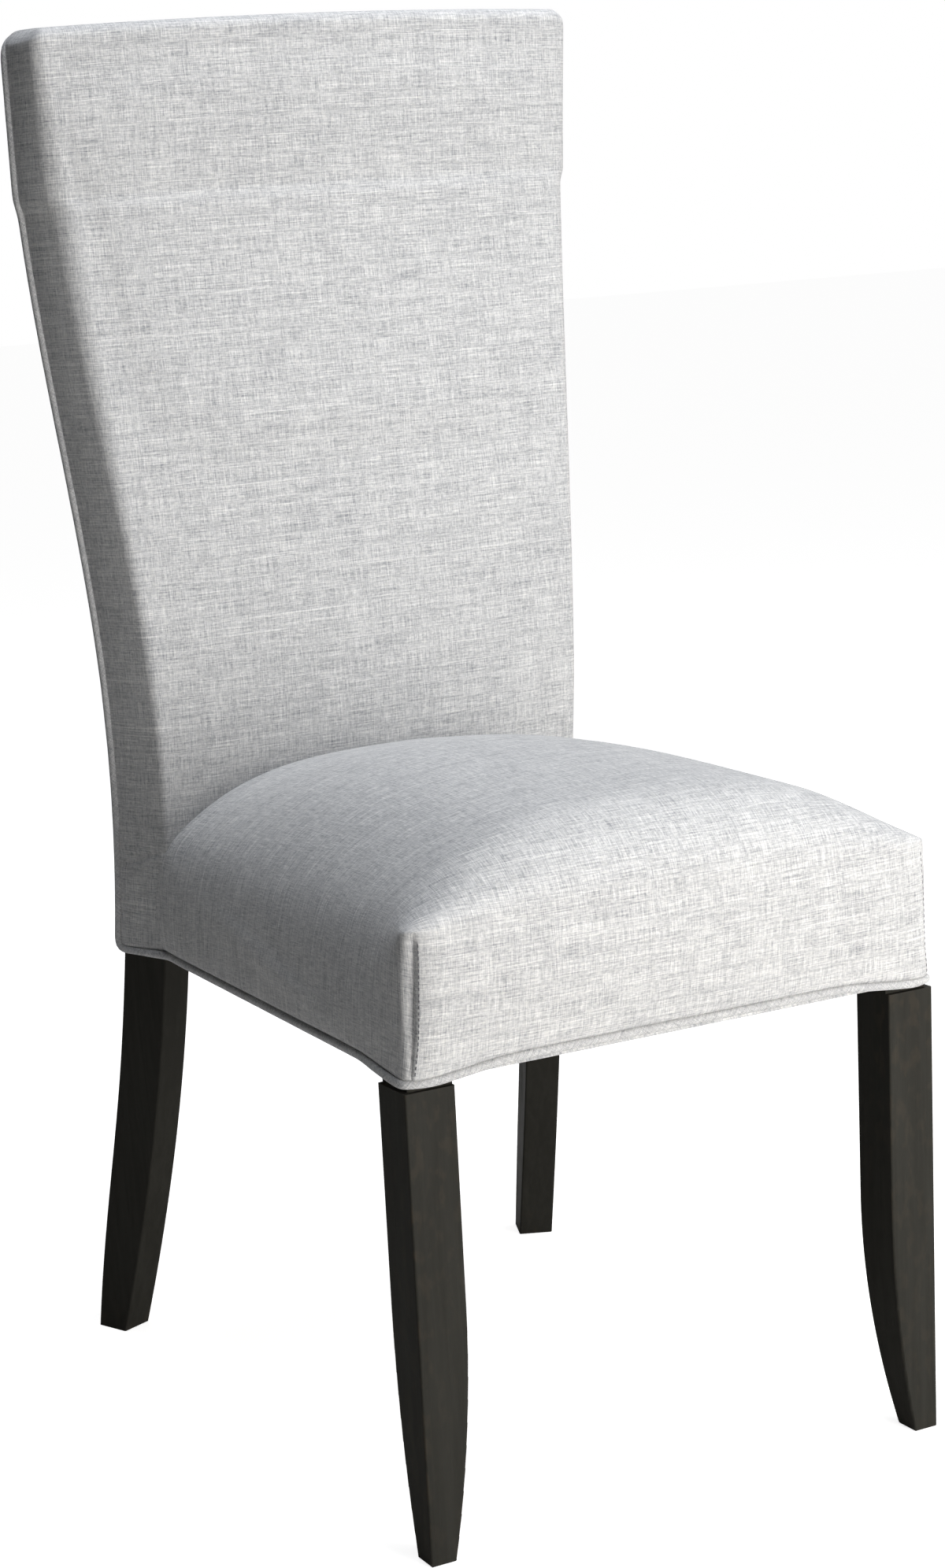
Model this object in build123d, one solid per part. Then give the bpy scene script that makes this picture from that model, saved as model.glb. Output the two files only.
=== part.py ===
from build123d import *
import math
import os

# Overall sizes of the chair, in millimetres and degrees.
# While it is modelled, y = 0 is the front face of the front legs and z = 0 is the floor.
back_height = 1080.0
back_top_arch = 4.0
seat_crown_height = 525.0
seat_front_crown_height = 513.0
seat_rear_crown_height = 500.0
seat_crown_setback = 200.0
seat_front_edge_height = 457.0
seat_rear_edge_height = 440.0
seat_front_roll = 62.0
cover_bottom_height = 352.0
cover_lift = 6.0
lift_lead = 22.0
lift_inset = 6.0
front_width = 440.0

# Front legs
leg_size = 39.0
foot_size = 20.5
leg_taper_height = 185.0
leg_bow_share = 0.25
leg_edge_radius = 1.5
leg_rebate = 4.0
leg_rebate_bottom = 346.0
foot_edge = 1.0
foot_edge_angle = 45.0

# Rear posts, each sawn from one board that is turned outward and leans outward
post_thickness = 30.0
post_turn = 23.0
post_lean = 1.9
post_foot_half_spread = 216.4
post_waist_height = 540.0
post_waist_setback = 445.0
post_foot_sweep = 108.5
post_top_rake = 38.0
post_top_height = 945.0
post_depth = 46.5
post_foot_depth = 31.0
post_top_depth = 32.0
post_foot_taper_height = 185.0
post_edge_radius = 1.5
post_sweep_power = 1.8
post_top_slope_share = 0.5
post_steps = 8

# Seat rails and the blocks in their corners
rail_bottom = 359.0
rail_height = 61.0
rail_thickness = 22.0
rail_inset = 5.0
rear_rail_setback = 475.0
block_leg = 52.0
block_thickness = 30.0
block_drop = 14.0
block_edge = 8.0
screw_diameter = 4.5
screw_head_diameter = 9.0
screw_head_depth = 3.0
screw_length = 42.0
screw_spacing = 14.0
dowel_diameter = 9.5
dowel_length = 36.0
dowel_spacing = 34.0

# Back rail and crest rail
back_rail_bottom = 478.0
back_rail_height = 55.0
back_rail_thickness = 22.0
rail_inset = 5.0
back_rail_setback = 465.0
crest_height = 121.0
crest_front_setback = 486.0
crest_rear_setback = 524.0
crest_half_length = 232.0
crest_front_bevel = 16.0
crest_rear_bevel = 31.0
crest_rear_bevel_depth = 13.0
crest_dowel_length = 44.0

# Webbing and the cloth under the seat
web_width = 50.0
web_thickness = 1.5
seat_web_pitch = 82.0
back_web_pitch = 78.0
web_overlap = 16.0
web_margin = 6.0
seat_webs = 4
back_webs = 4
dust_cover_thickness = 1.0

# Upholstery thicknesses
cover_thickness = 2.0
back_side_pad = 7.5
back_front_pad = 8.5
back_rear_pad = 3.0
post_skin_pad = 3.8
back_crown = 8.0
head_front_half = 229.0
head_front_flare = 10.0
head_rear_half = 244.0
head_front_setback = 474.5
head_rear_setback = 512.5
head_knee_half = 206.0
head_knee_setback = 526.5
ear_gap = 6.0
crease_height = 438.0
hollow_half_width = 150.0
back_top_roll = 9.0
arch_reach_share = 0.65
body_shares = (0, 0.15, 0.32, 0.49, 0.66, 0.84, 1)
head_shares = (0, 0.5, 1)
body_corner_radii = (3.0, 5.0, 8.5, 11.0, 14.0, 19.0, 22.0)
head_corner_radii = (22.0, 14.0, 11.0)
seat_front_pad = 4.5
seat_side_pad = 2.0
seat_corner_lean = 5.5
seat_side_bulge = 4.0
seat_front_bulge = 8.0
seat_front_lean = 3.5
seat_front_swell = 5.5
seat_rear_half = 191.5
seat_shoulder_share = 0.62
seat_shoulder_drop_share = 0.24
seat_shares = (0, 0.25, 0.5, 0.75, 1)

# Welt, the covered cord on the seams
welt_diameter = 7.0
welt_bow = 0.8
welt_largest_radius = 900.0
bow_share = 0.75
knee_rise_share = 0.3
run_share = 0.45
side_runs = 4
edge_runs = 7

# Helpers and clearances
overrun = 60.0
fit = 0.3

turn = math.radians(post_turn)
lean = math.tan(math.radians(post_lean))
rail_top = rail_bottom + rail_height
block_bottom = rail_top - block_drop - block_thickness
half_front = front_width / 2
out_x, out_y = math.cos(turn), -math.sin(turn)
along_x, along_y = math.sin(turn), math.cos(turn)
foot_setback = post_waist_setback + post_foot_sweep


def mirrored(shape):
    """The same shape on the other side of the chair."""
    return mirror(shape, about=Plane.YZ)


def main_body(shape):
    """The piece without the crumbs that a cut can leave."""
    return shape.solids().sort_by(SortBy.VOLUME)[-1]


def post_front(z):
    """How far back the post's outer front corner stands at height z."""
    if z < post_waist_height:
        rise_share = (post_waist_height - z) / post_waist_height
        return post_waist_setback + post_foot_sweep * rise_share**post_sweep_power
    s = (z - post_waist_height) / (post_top_height - post_waist_height)
    ease_share = s * s * (3 - 2 * s) + post_top_slope_share * s * s * (s - 1)
    return post_waist_setback + post_top_rake * ease_share


def post_depth_at(z):
    """Depth of the post along its board at height z."""
    if z < post_foot_taper_height:
        s = 1 - z / post_foot_taper_height
        return post_depth - (post_depth - post_foot_depth) * s * s
    s = max(0, (z - cover_bottom_height) / (post_top_height - cover_bottom_height))
    return post_depth - (post_depth - post_top_depth) * s


def post_corner(z):
    """Plan place of the right post's outer front corner at height z."""
    y = post_front(z)
    x = post_foot_half_spread - (foot_setback - y) * math.tan(turn) + z * lean / math.cos(turn)
    return x, y


def from_corner(z, outward, along):
    """Plan point a given way outward and backward along the board from the post's corner."""
    x, y = post_corner(z)
    return x + outward * out_x + along * along_x, y + outward * out_y + along * along_y


# Rear post
def make_rear_post():
    board = Plane(
        origin=(post_foot_half_spread, foot_setback, 0),
        x_dir=(along_x, along_y, 0),
        z_dir=(out_x, out_y, -lean),
    )
    stretch = math.sqrt(1 + lean**2)
    heights = [post_top_height * i / post_steps for i in range(post_steps + 1)]
    heights[0] = -post_foot_depth * lean - foot_edge

    def on_board(z, back_off):
        u = (post_front(max(z, 0)) - foot_setback) / math.cos(turn) + z * lean * math.tan(turn)
        return u + back_off, z * stretch

    front = [on_board(z, 0) for z in heights]
    rear = [on_board(z, post_depth_at(max(z, 0))) for z in heights]
    outline = Spline(front) + Line(front[-1], rear[-1]) + Spline(rear[::-1]) + Line(rear[0], front[0])
    post = extrude(board * make_face(outline), amount=-post_thickness)
    long_edges = post.edges().filter_by(lambda e: e.length > post_waist_height)
    post = fillet(long_edges, post_edge_radius)
    below = Pos(0, 0, -back_height) * Box(back_height * 2, back_height * 2, back_height * 2)
    above = Pos(0, 0, post_top_height + back_height) * Box(back_height * 2, back_height * 2, back_height * 2)
    return post - below - above


# Front leg
def make_front_leg():
    """Square above, with its two inner faces curving in towards the foot."""
    inner = half_front - leg_size
    foot_in = leg_size - foot_size
    bow = foot_in * leg_bow_share
    top = leg_taper_height
    front_view = Polyline(
        (inner, top), (inner, rail_top), (half_front, rail_top), (half_front, 0), (inner + foot_in, 0)
    ) + ThreePointArc((inner + foot_in, 0), (inner + bow, top / 2), (inner, top))
    side_view = Polyline(
        (leg_size, top), (leg_size, rail_top), (0, rail_top), (0, 0), (foot_size, 0)
    ) + ThreePointArc((foot_size, 0), (leg_size - bow, top / 2), (leg_size, top))
    leg = extrude(Plane.XZ * make_face(front_view), amount=leg_size, both=True)
    leg = leg & extrude(Plane.YZ * make_face(side_view), amount=front_width)
    long_edges = leg.edges().filter_by(lambda e: e.length > leg_size * 2)
    leg = fillet(long_edges, leg_edge_radius)
    cover_seat = board_between(
        [
            (inner, leg_rebate),
            (half_front - leg_rebate, leg_rebate),
            (half_front - leg_rebate, leg_size),
            (half_front, leg_size),
            (half_front, 0),
            (inner, 0),
        ],
        leg_rebate_bottom,
        rail_top,
    )
    leg = leg - cover_seat
    sole = foot_size - foot_edge * 2
    eased = extrude(Rectangle(sole, sole), amount=rail_top, taper=-foot_edge_angle)
    return leg & Pos(half_front - foot_size / 2, foot_size / 2, 0) * eased


# Rails
def board_between(points, bottom, height):
    """A board from its plan outline."""
    return Pos(0, 0, bottom) * extrude(make_face(Polyline(points + points[:1])), amount=height)


def frame_half_width(y):
    """Half the width over the side rails at y."""
    rear_x, rear_y = post_corner(rail_bottom)
    front = half_front - rail_inset
    return front - (front + post_skin_pad / 2 - rear_x) * (y - leg_size) / (rear_y - leg_size)


def make_side_rail(post):
    deep = post_corner(rail_bottom)[1] + post_thickness / 4
    near, far = frame_half_width(leg_size), frame_half_width(deep)
    outline = [(near, leg_size), (far, deep), (far - rail_thickness, deep), (near - rail_thickness, leg_size)]
    rail = board_between(outline, rail_bottom, rail_height)
    return main_body(rail - post)


def cross_rail(front_y, thickness, half_length, bottom, height):
    """A straight board from side to side of the chair."""
    middle = Pos(0, front_y + thickness / 2, bottom + height / 2)
    return middle * Box(half_length * 2, thickness, height)


def make_crest_rail():
    """The wide top board, with bevelled ends that stand out past the posts as ears."""
    half = [
        (crest_half_length - crest_front_bevel, crest_front_setback),
        (crest_half_length, crest_front_setback + crest_front_bevel),
        (crest_half_length, crest_rear_setback - crest_rear_bevel_depth),
        (crest_half_length - crest_rear_bevel, crest_rear_setback),
    ]
    return board_between(half + [(-x, y) for x, y in reversed(half)], post_top_height, crest_height)


# Corner blocks, screws and dowels
def make_front_block(leg, rail):
    """A block round the leg's inner corner, cut to the slanting side rail."""
    inner = half_front - leg_size
    side = half_front - rail_inset - rail_thickness
    outline = [
        (inner - block_leg, rail_thickness),
        (inner, rail_thickness),
        (inner, leg_size),
        (side + fit, leg_size),
        (side + fit, leg_size + block_leg),
        (side - block_edge, leg_size + block_leg),
        (inner - block_leg, rail_thickness + block_edge),
    ]
    return board_between(outline, block_bottom, block_thickness) - rail


def make_rear_block(post, rail):
    """The same against the rear post, side rail and rear rail."""
    x, y = post_corner(rail_bottom)
    near = x - post_thickness * out_x
    outline = [
        (near - block_leg, rear_rail_setback),
        (near + rail_thickness / 2, rear_rail_setback),
        (near + rail_thickness / 2, rear_rail_setback - block_leg),
        (near + block_edge, rear_rail_setback - block_leg - block_edge),
        (near - block_leg, rear_rail_setback - block_edge),
    ]
    block = board_between(outline, block_bottom, block_thickness) - post - rail
    return block.solids().sort_by(SortBy.VOLUME)[-1]


def make_screw(at, heading):
    """A countersunk wood screw, its head's face at the given place."""
    start = (Align.CENTER, Align.CENTER, Align.MIN)
    shank = Cylinder(screw_diameter / 2, screw_length, align=start)
    head = Cone(screw_head_diameter / 2, screw_diameter / 2, screw_head_depth, align=start)
    return Plane(origin=at, z_dir=heading) * (shank + head)


def block_screws():
    """Two screws through each right-hand block into the leg or post behind it."""
    inner = half_front - leg_size
    middle = block_bottom + block_thickness / 2
    across = (block_leg + half_front - rail_inset - rail_thickness - inner) / 2
    front_at = (inner - block_leg + across - block_edge / 2, rail_thickness + across + block_edge / 2)
    x, y = post_corner(rail_bottom)
    near = x - post_thickness * out_x
    rear_at = (near - block_leg / 2 + block_edge / 2, rear_rail_setback - block_leg / 2 - block_edge)
    screws = []
    for drop in (-screw_spacing / 2, screw_spacing / 2):
        screws.append(make_screw((front_at[0], front_at[1], middle + drop), (1, -1, 0)))
        screws.append(make_screw((rear_at[0], rear_at[1], middle + drop), (1, 1, 0)))
    return screws


def pair_of_dowels(at, heading, length, apart):
    """Two dowels across one joint, a given way apart."""
    x, y, z = at
    dowels = []
    for side in (-1, 1):
        dx, dy, dz = (side * d / 2 for d in apart)
        place = Plane(origin=(x + dx, y + dy, z + dz), z_dir=heading)
        dowels.append(place * Cylinder(dowel_diameter / 2, length))
    return dowels


def inner_face_at(z, y):
    """Where the post's inner face is, going straight back to y."""
    x0, y0 = from_corner(z, -post_thickness, 0)
    return x0 + (y - y0) * math.tan(turn)


def rail_dowels():
    """Right-hand dowels of the front, side, rear and back rails."""
    middle = rail_bottom + rail_height / 2
    half_rail = rail_thickness / 2
    upright = (0, 0, dowel_spacing)
    x, y = post_corner(middle)
    rear_line = rear_rail_setback + half_rail
    back_line = back_rail_setback + back_rail_thickness / 2
    back_middle = back_rail_bottom + back_rail_height / 2
    level, straight = (1, 0, 0), (0, 1, 0)
    dowels = pair_of_dowels((half_front - leg_size, half_rail, middle), level, dowel_length, upright)
    leg_end = (half_front - rail_inset - half_rail, leg_size, middle)
    dowels += pair_of_dowels(leg_end, straight, dowel_length, upright)
    post_end = (x - half_rail - fit, y + half_rail * math.tan(turn), middle)
    dowels += pair_of_dowels(post_end, straight, dowel_length, upright)
    rear_end = (inner_face_at(middle, rear_line), rear_line, middle)
    dowels += pair_of_dowels(rear_end, level, dowel_length, upright)
    back_end = (inner_face_at(back_middle, back_line), back_line, back_middle)
    dowels += pair_of_dowels(back_end, level, dowel_length, upright)
    return dowels


def crest_dowels():
    x, y = from_corner(post_top_height, -post_thickness / 2, post_top_depth / 2)
    apart = (along_x * post_top_depth / 2, along_y * post_top_depth / 2, 0)
    return pair_of_dowels((x, y, post_top_height), (0, 0, 1), crest_dowel_length, apart)


def both_sides(pieces):
    """The pieces and their mirror images as one set of separate solids."""
    return Compound(children=list(pieces) + [mirrored(piece) for piece in pieces])


def drilled(piece, pins):
    """The piece with exact holes for the pins that reach into it."""
    box = piece.bounding_box()
    for pin in pins:
        if box.overlaps(pin.bounding_box()):
            piece = piece - pin
    return piece


# Webbing and dust cover
def strap_places(count, pitch):
    return [(i - (count - 1) / 2) * pitch for i in range(count)]


def make_seat_webbing_long():
    front, rear = web_margin, rear_rail_setback + rail_thickness - web_margin
    middle = (front + rear) / 2
    strap = Box(web_width, rear - front, web_thickness)
    height = rail_top + web_thickness / 2
    return Compound(children=[Pos(x, middle, height) * strap for x in strap_places(seat_webs, seat_web_pitch)])


def make_seat_webbing_cross():
    height = rail_top + web_thickness * 3 / 2
    middle = (rear_rail_setback + rail_thickness) / 2
    straps = []
    for place in strap_places(seat_webs, seat_web_pitch):
        y = middle + place
        length = 2 * (frame_half_width(y + web_width / 2) - web_margin)
        straps.append(Pos(0, y, height) * Box(length, web_width, web_thickness))
    return Compound(children=straps)


def make_back_webbing():
    """Upright straps over the fronts of the back rail and the crest rail."""
    low = back_rail_bottom + back_rail_height
    line = [
        (back_rail_setback, low - web_overlap * 2),
        (back_rail_setback, low),
        (crest_front_setback, post_top_height),
        (crest_front_setback, post_top_height + web_overlap * 2),
    ]
    outline = line + [(y - web_thickness, z) for y, z in reversed(line)]
    strap = extrude(Plane.YZ * make_face(Polyline(outline + outline[:1])), amount=web_width / 2, both=True)
    return Compound(children=[Pos(x, 0, 0) * strap for x in strap_places(back_webs, back_web_pitch)])


def make_dust_cover(cutters):
    rear = rear_rail_setback + rail_thickness - web_margin
    half = [(half_front - web_margin, web_margin), (frame_half_width(rear) - web_margin, rear)]
    outline = half + [(-x, y) for x, y in reversed(half)]
    sheet = board_between(outline, rail_bottom - dust_cover_thickness, dust_cover_thickness)
    for cutter in cutters:
        sheet = sheet - cutter - mirrored(cutter)
    return sheet.solids().sort_by(SortBy.VOLUME)[-1]


# The back's outer form
def pad_share_at(z):
    """How far the padding has grown: thin over the seat frame, full above the seat."""
    s = (z - cover_bottom_height) / (post_waist_height - cover_bottom_height)
    return min(max(s, 0), 1)


def back_plan(z, shrink, longer):
    """Right half of the back's plan at height z: front corner, rear corner and rear knee."""
    s = pad_share_at(z)
    side = post_skin_pad + (back_side_pad - post_skin_pad) * s - shrink
    front = post_skin_pad + (back_front_pad - post_skin_pad) * s - shrink
    rear = post_depth_at(z) + back_rear_pad + longer
    return from_corner(z, side, -front), from_corner(z, side, rear), from_corner(z, -post_thickness, rear)


def head_plan(rise_share, shrink, longer):
    """The same for the head above the ears, where the crest rail's ends are square."""
    front_x = head_front_half + head_front_flare * rise_share - shrink
    return (
        (front_x, head_front_setback + shrink),
        (head_rear_half - shrink, head_rear_setback + longer),
        (head_knee_half, head_knee_setback + longer),
    )


def back_section(z, plan, radius):
    """A level slice through the back: crowned front, rounded front corners, bent rear."""
    (fx, fy), (rx, ry), (kx, ky) = plan
    crown = ThreePointArc((-fx, fy), (0, fy - back_crown), (fx, fy))
    outline = crown + Polyline((fx, fy), (rx, ry), (kx, ky), (-kx, ky), (-rx, ry), (-fx, fy))
    face = make_face(outline)
    corners = face.vertices().filter_by(lambda v: v.Y < fy + fit)
    return Pos(0, 0, z) * fillet(corners, radius)


def levels():
    """Heights of the slices through the back's body and head."""
    body_bottom, body_top = cover_bottom_height, post_top_height - ear_gap
    head_bottom, head_top = post_top_height + ear_gap, back_height + overrun
    body = [body_bottom + (body_top - body_bottom) * share for share in body_shares]
    head = [head_bottom + (head_top - head_bottom) * share for share in head_shares]
    return body, head


def below_arch(drop):
    """Everything under the gently arched top."""
    side = front_width * arch_reach_share
    shoulder = back_height - back_top_arch * (side / head_rear_half) ** 2
    arch = ThreePointArc((-side, shoulder), (0, back_height), (side, shoulder))
    region = make_face(arch + Polyline((side, shoulder), (side, 0), (-side, 0), (-side, shoulder)))
    return Pos(0, 0, -drop) * extrude(Plane.XZ * region, amount=-back_height)


def back_form(shrink, longer):
    """The back's whole outer form, or the same drawn in by a thickness and open at the rear."""
    body_levels, head_levels = levels()
    body = []
    for z, radius in zip(body_levels, body_corner_radii):
        body.append(back_section(z, back_plan(z, shrink, longer), radius))
    head = []
    for z, share, radius in zip(head_levels, head_shares, head_corner_radii):
        head.append(back_section(z, head_plan(share, shrink, longer), radius))
    form = loft(body) + loft([body[-1], head[0]], ruled=True) + loft(head)
    form = form & below_arch(shrink)
    top = form.faces().sort_by(Axis.Z)[-1]
    rolled = top.edges().filter_by(lambda e: e.center().Y < head_rear_setback)
    return fillet(rolled, back_top_roll - shrink)


def behind_back(depth):
    """Everything behind a surface that lies a thickness inside the rear of the back."""
    body_levels, head_levels = levels()
    slices = []
    for z in body_levels:
        rear = post_depth_at(z) + back_rear_pad - depth
        slices.append((z, from_corner(z, overrun, rear), from_corner(z, -post_thickness, rear)))
    slope = (head_knee_setback - head_rear_setback) / (head_rear_half - head_knee_half)
    wide = head_rear_half + overrun
    for z in head_levels:
        outer = (wide, head_rear_setback - overrun * slope - depth)
        slices.append((z, outer, (head_knee_half, head_knee_setback - depth)))
    far = head_knee_setback + overrun * 3
    faces = []
    for z, (ox, oy), (kx, ky) in slices:
        points = [(ox, oy), (kx, ky), (-kx, ky), (-ox, oy), (-ox, far), (ox, far), (ox, oy)]
        faces.append(Pos(0, 0, z) * make_face(Polyline(points)))
    body, head = faces[: len(body_levels)], faces[len(body_levels):]
    return loft(body) + loft([body[-1], head[0]], ruled=True) + loft(head)


# The seat's outer form
def seat_crown_at(y):
    """Height of the seat's crown line, highest at the middle of its depth."""
    if y < seat_crown_setback:
        t = (seat_crown_setback - y) / seat_crown_setback
        return seat_crown_height - (seat_crown_height - seat_front_crown_height) * t * t
    t = (y - seat_crown_setback) / (post_waist_setback - seat_crown_setback)
    return seat_crown_height - (seat_crown_height - seat_rear_crown_height) * t * t


def seat_slice(y, shrink, bottom):
    """An upright slice across the seat: bowed sides and a flat-topped crown with steep shoulders."""
    s = y / post_waist_setback
    ease_share = (1 - s) ** 2
    low = half_front + seat_side_pad - (front_width / 2 - seat_rear_half) * s - shrink
    high = low - seat_corner_lean * (1 - s)
    edge = seat_rear_edge_height + (seat_front_edge_height - seat_rear_edge_height) * ease_share
    crown = seat_crown_at(y) - shrink
    shoulder_x = high * seat_shoulder_share
    shoulder_z = crown - (crown - edge) * seat_shoulder_drop_share
    bulge = ((low + high) / 2 + seat_side_bulge, (cover_bottom_height + edge) / 2)
    cap = ThreePointArc((-shoulder_x, shoulder_z), (0, crown), (shoulder_x, shoulder_z))
    shoulder = TangentArc((shoulder_x, shoulder_z), (high, edge), tangent=cap % 1)
    side = ThreePointArc((high, edge), bulge, (low, cover_bottom_height))
    half = shoulder + side
    if bottom < cover_bottom_height:
        half = half + Line((low, cover_bottom_height), (low, bottom))
    base = Line((low, bottom), (-low, bottom))
    outline = cap + half + base + mirror(half, about=Plane.YZ)
    return Plane(origin=(0, y, 0), x_dir=(1, 0, 0), z_dir=(0, -1, 0)) * make_face(outline)


def seat_form(shrink, drop):
    """The seat's whole outer form, or the same drawn in by a thickness and open below."""
    bottom = cover_bottom_height - drop
    rear = post_waist_setback + overrun
    front = -seat_front_bulge - seat_front_pad - fit
    places = [front + (rear - front) * share for share in seat_shares]
    body = loft([seat_slice(y, shrink, bottom) for y in places])
    low_y = -seat_front_pad + shrink
    high_y = low_y - seat_front_lean
    edge = seat_front_edge_height
    roll = seat_front_roll
    middle = (cover_bottom_height + edge) / 2
    swell = ThreePointArc((low_y, bottom), ((low_y + high_y) / 2 - seat_front_swell, middle), (high_y, edge))
    top = ThreePointArc(
        (high_y, edge),
        (high_y + roll * (1 - math.sqrt(0.5)), edge + roll * math.sqrt(0.5) - shrink),
        (high_y + roll, edge + roll - shrink),
    )
    over = seat_crown_height + overrun
    rest = Polyline((high_y + roll, edge + roll - shrink), (high_y + roll, over), (rear, over), (rear, bottom))
    side_view = make_face(swell + top + rest + Line((rear, bottom), (low_y, bottom)))
    return body & extrude(Plane.YZ * side_view, amount=front_width, both=True)


# Covers and fillings
def slab(bottom, top):
    """Everything between two heights."""
    wide = back_height * 2
    return Pos(0, 0, (bottom + top) / 2) * Box(wide, wide, top - bottom)


def s_curve(start, end, low, high):
    """Two equal arcs that rise from one level to another."""
    middle = ((start + end) / 2, (low + high) / 2)
    first = TangentArc((start, low), middle, tangent=(end - start, 0))
    return first + TangentArc(middle, (end, high), tangent=first % 1)


def lift_profile(start, end, lead):
    """Outline of the space under an edge that is lifted between two curved leads."""
    low, high = cover_bottom_height, cover_bottom_height + cover_lift
    under = low - overrun
    outline = s_curve(start, start + lead, low, high) + Line((start + lead, high), (end - lead, high))
    outline = outline + mirror_lead(end, lead, low, high)
    return make_face(outline + Polyline((end, low), (end, under), (start, under), (start, low)))


def mirror_lead(end, lead, low, high):
    middle = (end - lead / 2, (low + high) / 2)
    first = TangentArc((end - lead, high), middle, tangent=(lead, 0))
    return first + TangentArc(middle, (end, low), tangent=first % 1)


def lift_space():
    """The space under the lifted edges between the legs at the front and the sides."""
    inner = half_front - leg_size + lift_inset
    front = extrude(Plane.XZ * lift_profile(-inner, inner, lift_lead), amount=overrun, both=True)
    rear_end = post_corner(cover_bottom_height)[1] - lift_inset
    side = lift_profile(leg_size - lift_inset, rear_end, lift_lead)
    return front + extrude(Plane.YZ * side, amount=front_width, both=True)


def back_pieces(inner_parts, welt):
    """Cover of the back, its rear panel and the padding between, from one outer form."""
    form = back_form(0, 0)
    core = back_form(cover_thickness, overrun / 3)
    behind = behind_back(cover_thickness)
    shell = form - core - behind
    upper = slab(crease_height, back_height + overrun)
    cover = (shell & upper) - welt
    lower = shell - upper
    panel = (form & behind) - welt
    inside = (form & core) - behind
    foam = inside & upper
    low, top = crease_height - fit, back_height + overrun
    line = [
        (back_rail_setback, low),
        (back_rail_setback, back_rail_bottom + back_rail_height),
        (crest_front_setback, post_top_height),
        (crest_front_setback, post_top_height + crest_height),
        (head_knee_setback + overrun, post_top_height + crest_height),
        (head_knee_setback + overrun, low),
    ]
    hollow = extrude(Plane.YZ * make_face(Polyline(line + line[:1])), amount=hollow_half_width, both=True)
    foam = foam - hollow - welt
    for part in inner_parts:
        foam = foam - part
    return main_body(cover), main_body(panel), main_body(foam), lower, form


def seat_pieces(straps, lower, form, welt):
    """Cover of the seat with its wings round the back, and the padding inside."""
    outside = seat_form(0, 0)
    inside = seat_form(cover_thickness, overrun)
    cover = (outside - inside - form) + (lower - inside) - lift_space() - welt
    rear = rear_rail_setback
    leg_side = half_front - leg_rebate
    half = [(half_front - leg_size, 0), (half_front - leg_size, leg_rebate), (leg_side, leg_rebate)]
    half += [(leg_side, leg_size), (frame_half_width(leg_size), leg_size), (frame_half_width(rear), rear)]
    outline = half + [(-x, y) for x, y in reversed(half)]
    frame = board_between(outline, rail_bottom - overrun, rail_height + overrun)
    foam = (inside & slab(rail_bottom, back_height)) - frame - form - welt
    for strap in straps:
        foam = foam - strap
    return main_body(cover), main_body(foam)


# Welt
def welt_points():
    """Right half of the welt's route, from the middle of the front to the middle of the top."""
    low, high = cover_bottom_height, cover_bottom_height + cover_lift
    corner_x, front_y = half_front + seat_side_pad, -seat_front_pad
    inner = half_front - leg_size + lift_inset
    lift_end = post_corner(cover_bottom_height)[1] - lift_inset
    half = [(0, front_y, high + welt_bow)]
    reach = inner - lift_lead
    half.append((reach / 2, front_y, high + welt_bow * bow_share))
    half.append((reach, front_y, high))
    half.append((inner, front_y, low))
    half.append((corner_x, front_y, low))

    def side_x(y):
        return corner_x - (half_front - seat_rear_half) * y / post_waist_setback

    start = leg_size - lift_inset
    half.append((side_x(start), start, low))
    start = start + lift_lead
    half.append((side_x(start), start, high))
    run = (lift_end - lift_lead - start) / side_runs
    for i in range(1, side_runs):
        y = start + run * i
        rise_share = 1 - (2 * i / side_runs - 1) ** 2
        half.append((side_x(y), y, high + welt_bow * rise_share))
    half.append((side_x(lift_end - lift_lead), lift_end - lift_lead, high))
    half.append((side_x(lift_end), lift_end, low))
    body_levels, head_levels = levels()
    rear_x, rear_y = back_plan(low, 0, 0)[1]
    half.append((rear_x, rear_y, low))
    step = (body_levels[-1] - low) / edge_runs
    for i in range(1, edge_runs + 1):
        z = low + step * i
        rear_x, rear_y = back_plan(z, 0, 0)[1]
        half.append((rear_x, rear_y, z))
    top = back_height - back_top_arch - welt_diameter / 2
    half.append((head_rear_half, head_rear_setback, head_levels[0]))
    half.append((head_rear_half + welt_bow, head_rear_setback + welt_bow, (head_levels[0] + top) / 2))
    half.append((head_rear_half, head_rear_setback, top))
    half.append((head_knee_half, head_knee_setback, top + back_top_arch * knee_rise_share))
    half.append((head_knee_half / 2, head_knee_setback + welt_bow, top + back_top_arch * bow_share))
    half.append((0, head_knee_setback + welt_bow, top + back_top_arch))
    return half


def make_welt():
    """One cord round the seat's lower edge, up the back's rear edges and over its top."""
    half = welt_points()
    points = [Vector(p) for p in half] + [Vector(-x, y, z) for x, y, z in half[-2:0:-1]]
    radii = []
    for i, point in enumerate(points):
        before = point - points[i - 1]
        after = points[(i + 1) % len(points)] - point
        half_turn = math.radians(before.get_angle(after) / 2)
        room = run_share * min(before.length, after.length) / math.tan(half_turn)
        radii.append(min(room, welt_largest_radius))
    print("welt radii", [round(r, 1) for r in radii])
    route = FilletPolyline(*points, radius=radii, close=True)
    start = Plane(origin=route @ 0, z_dir=route % 0)
    welt = sweep(start * Circle(welt_diameter / 2), path=route)
    print("welt volume over section times length", welt.volume / (route.length * math.pi * welt_diameter**2 / 4))
    return welt
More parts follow.
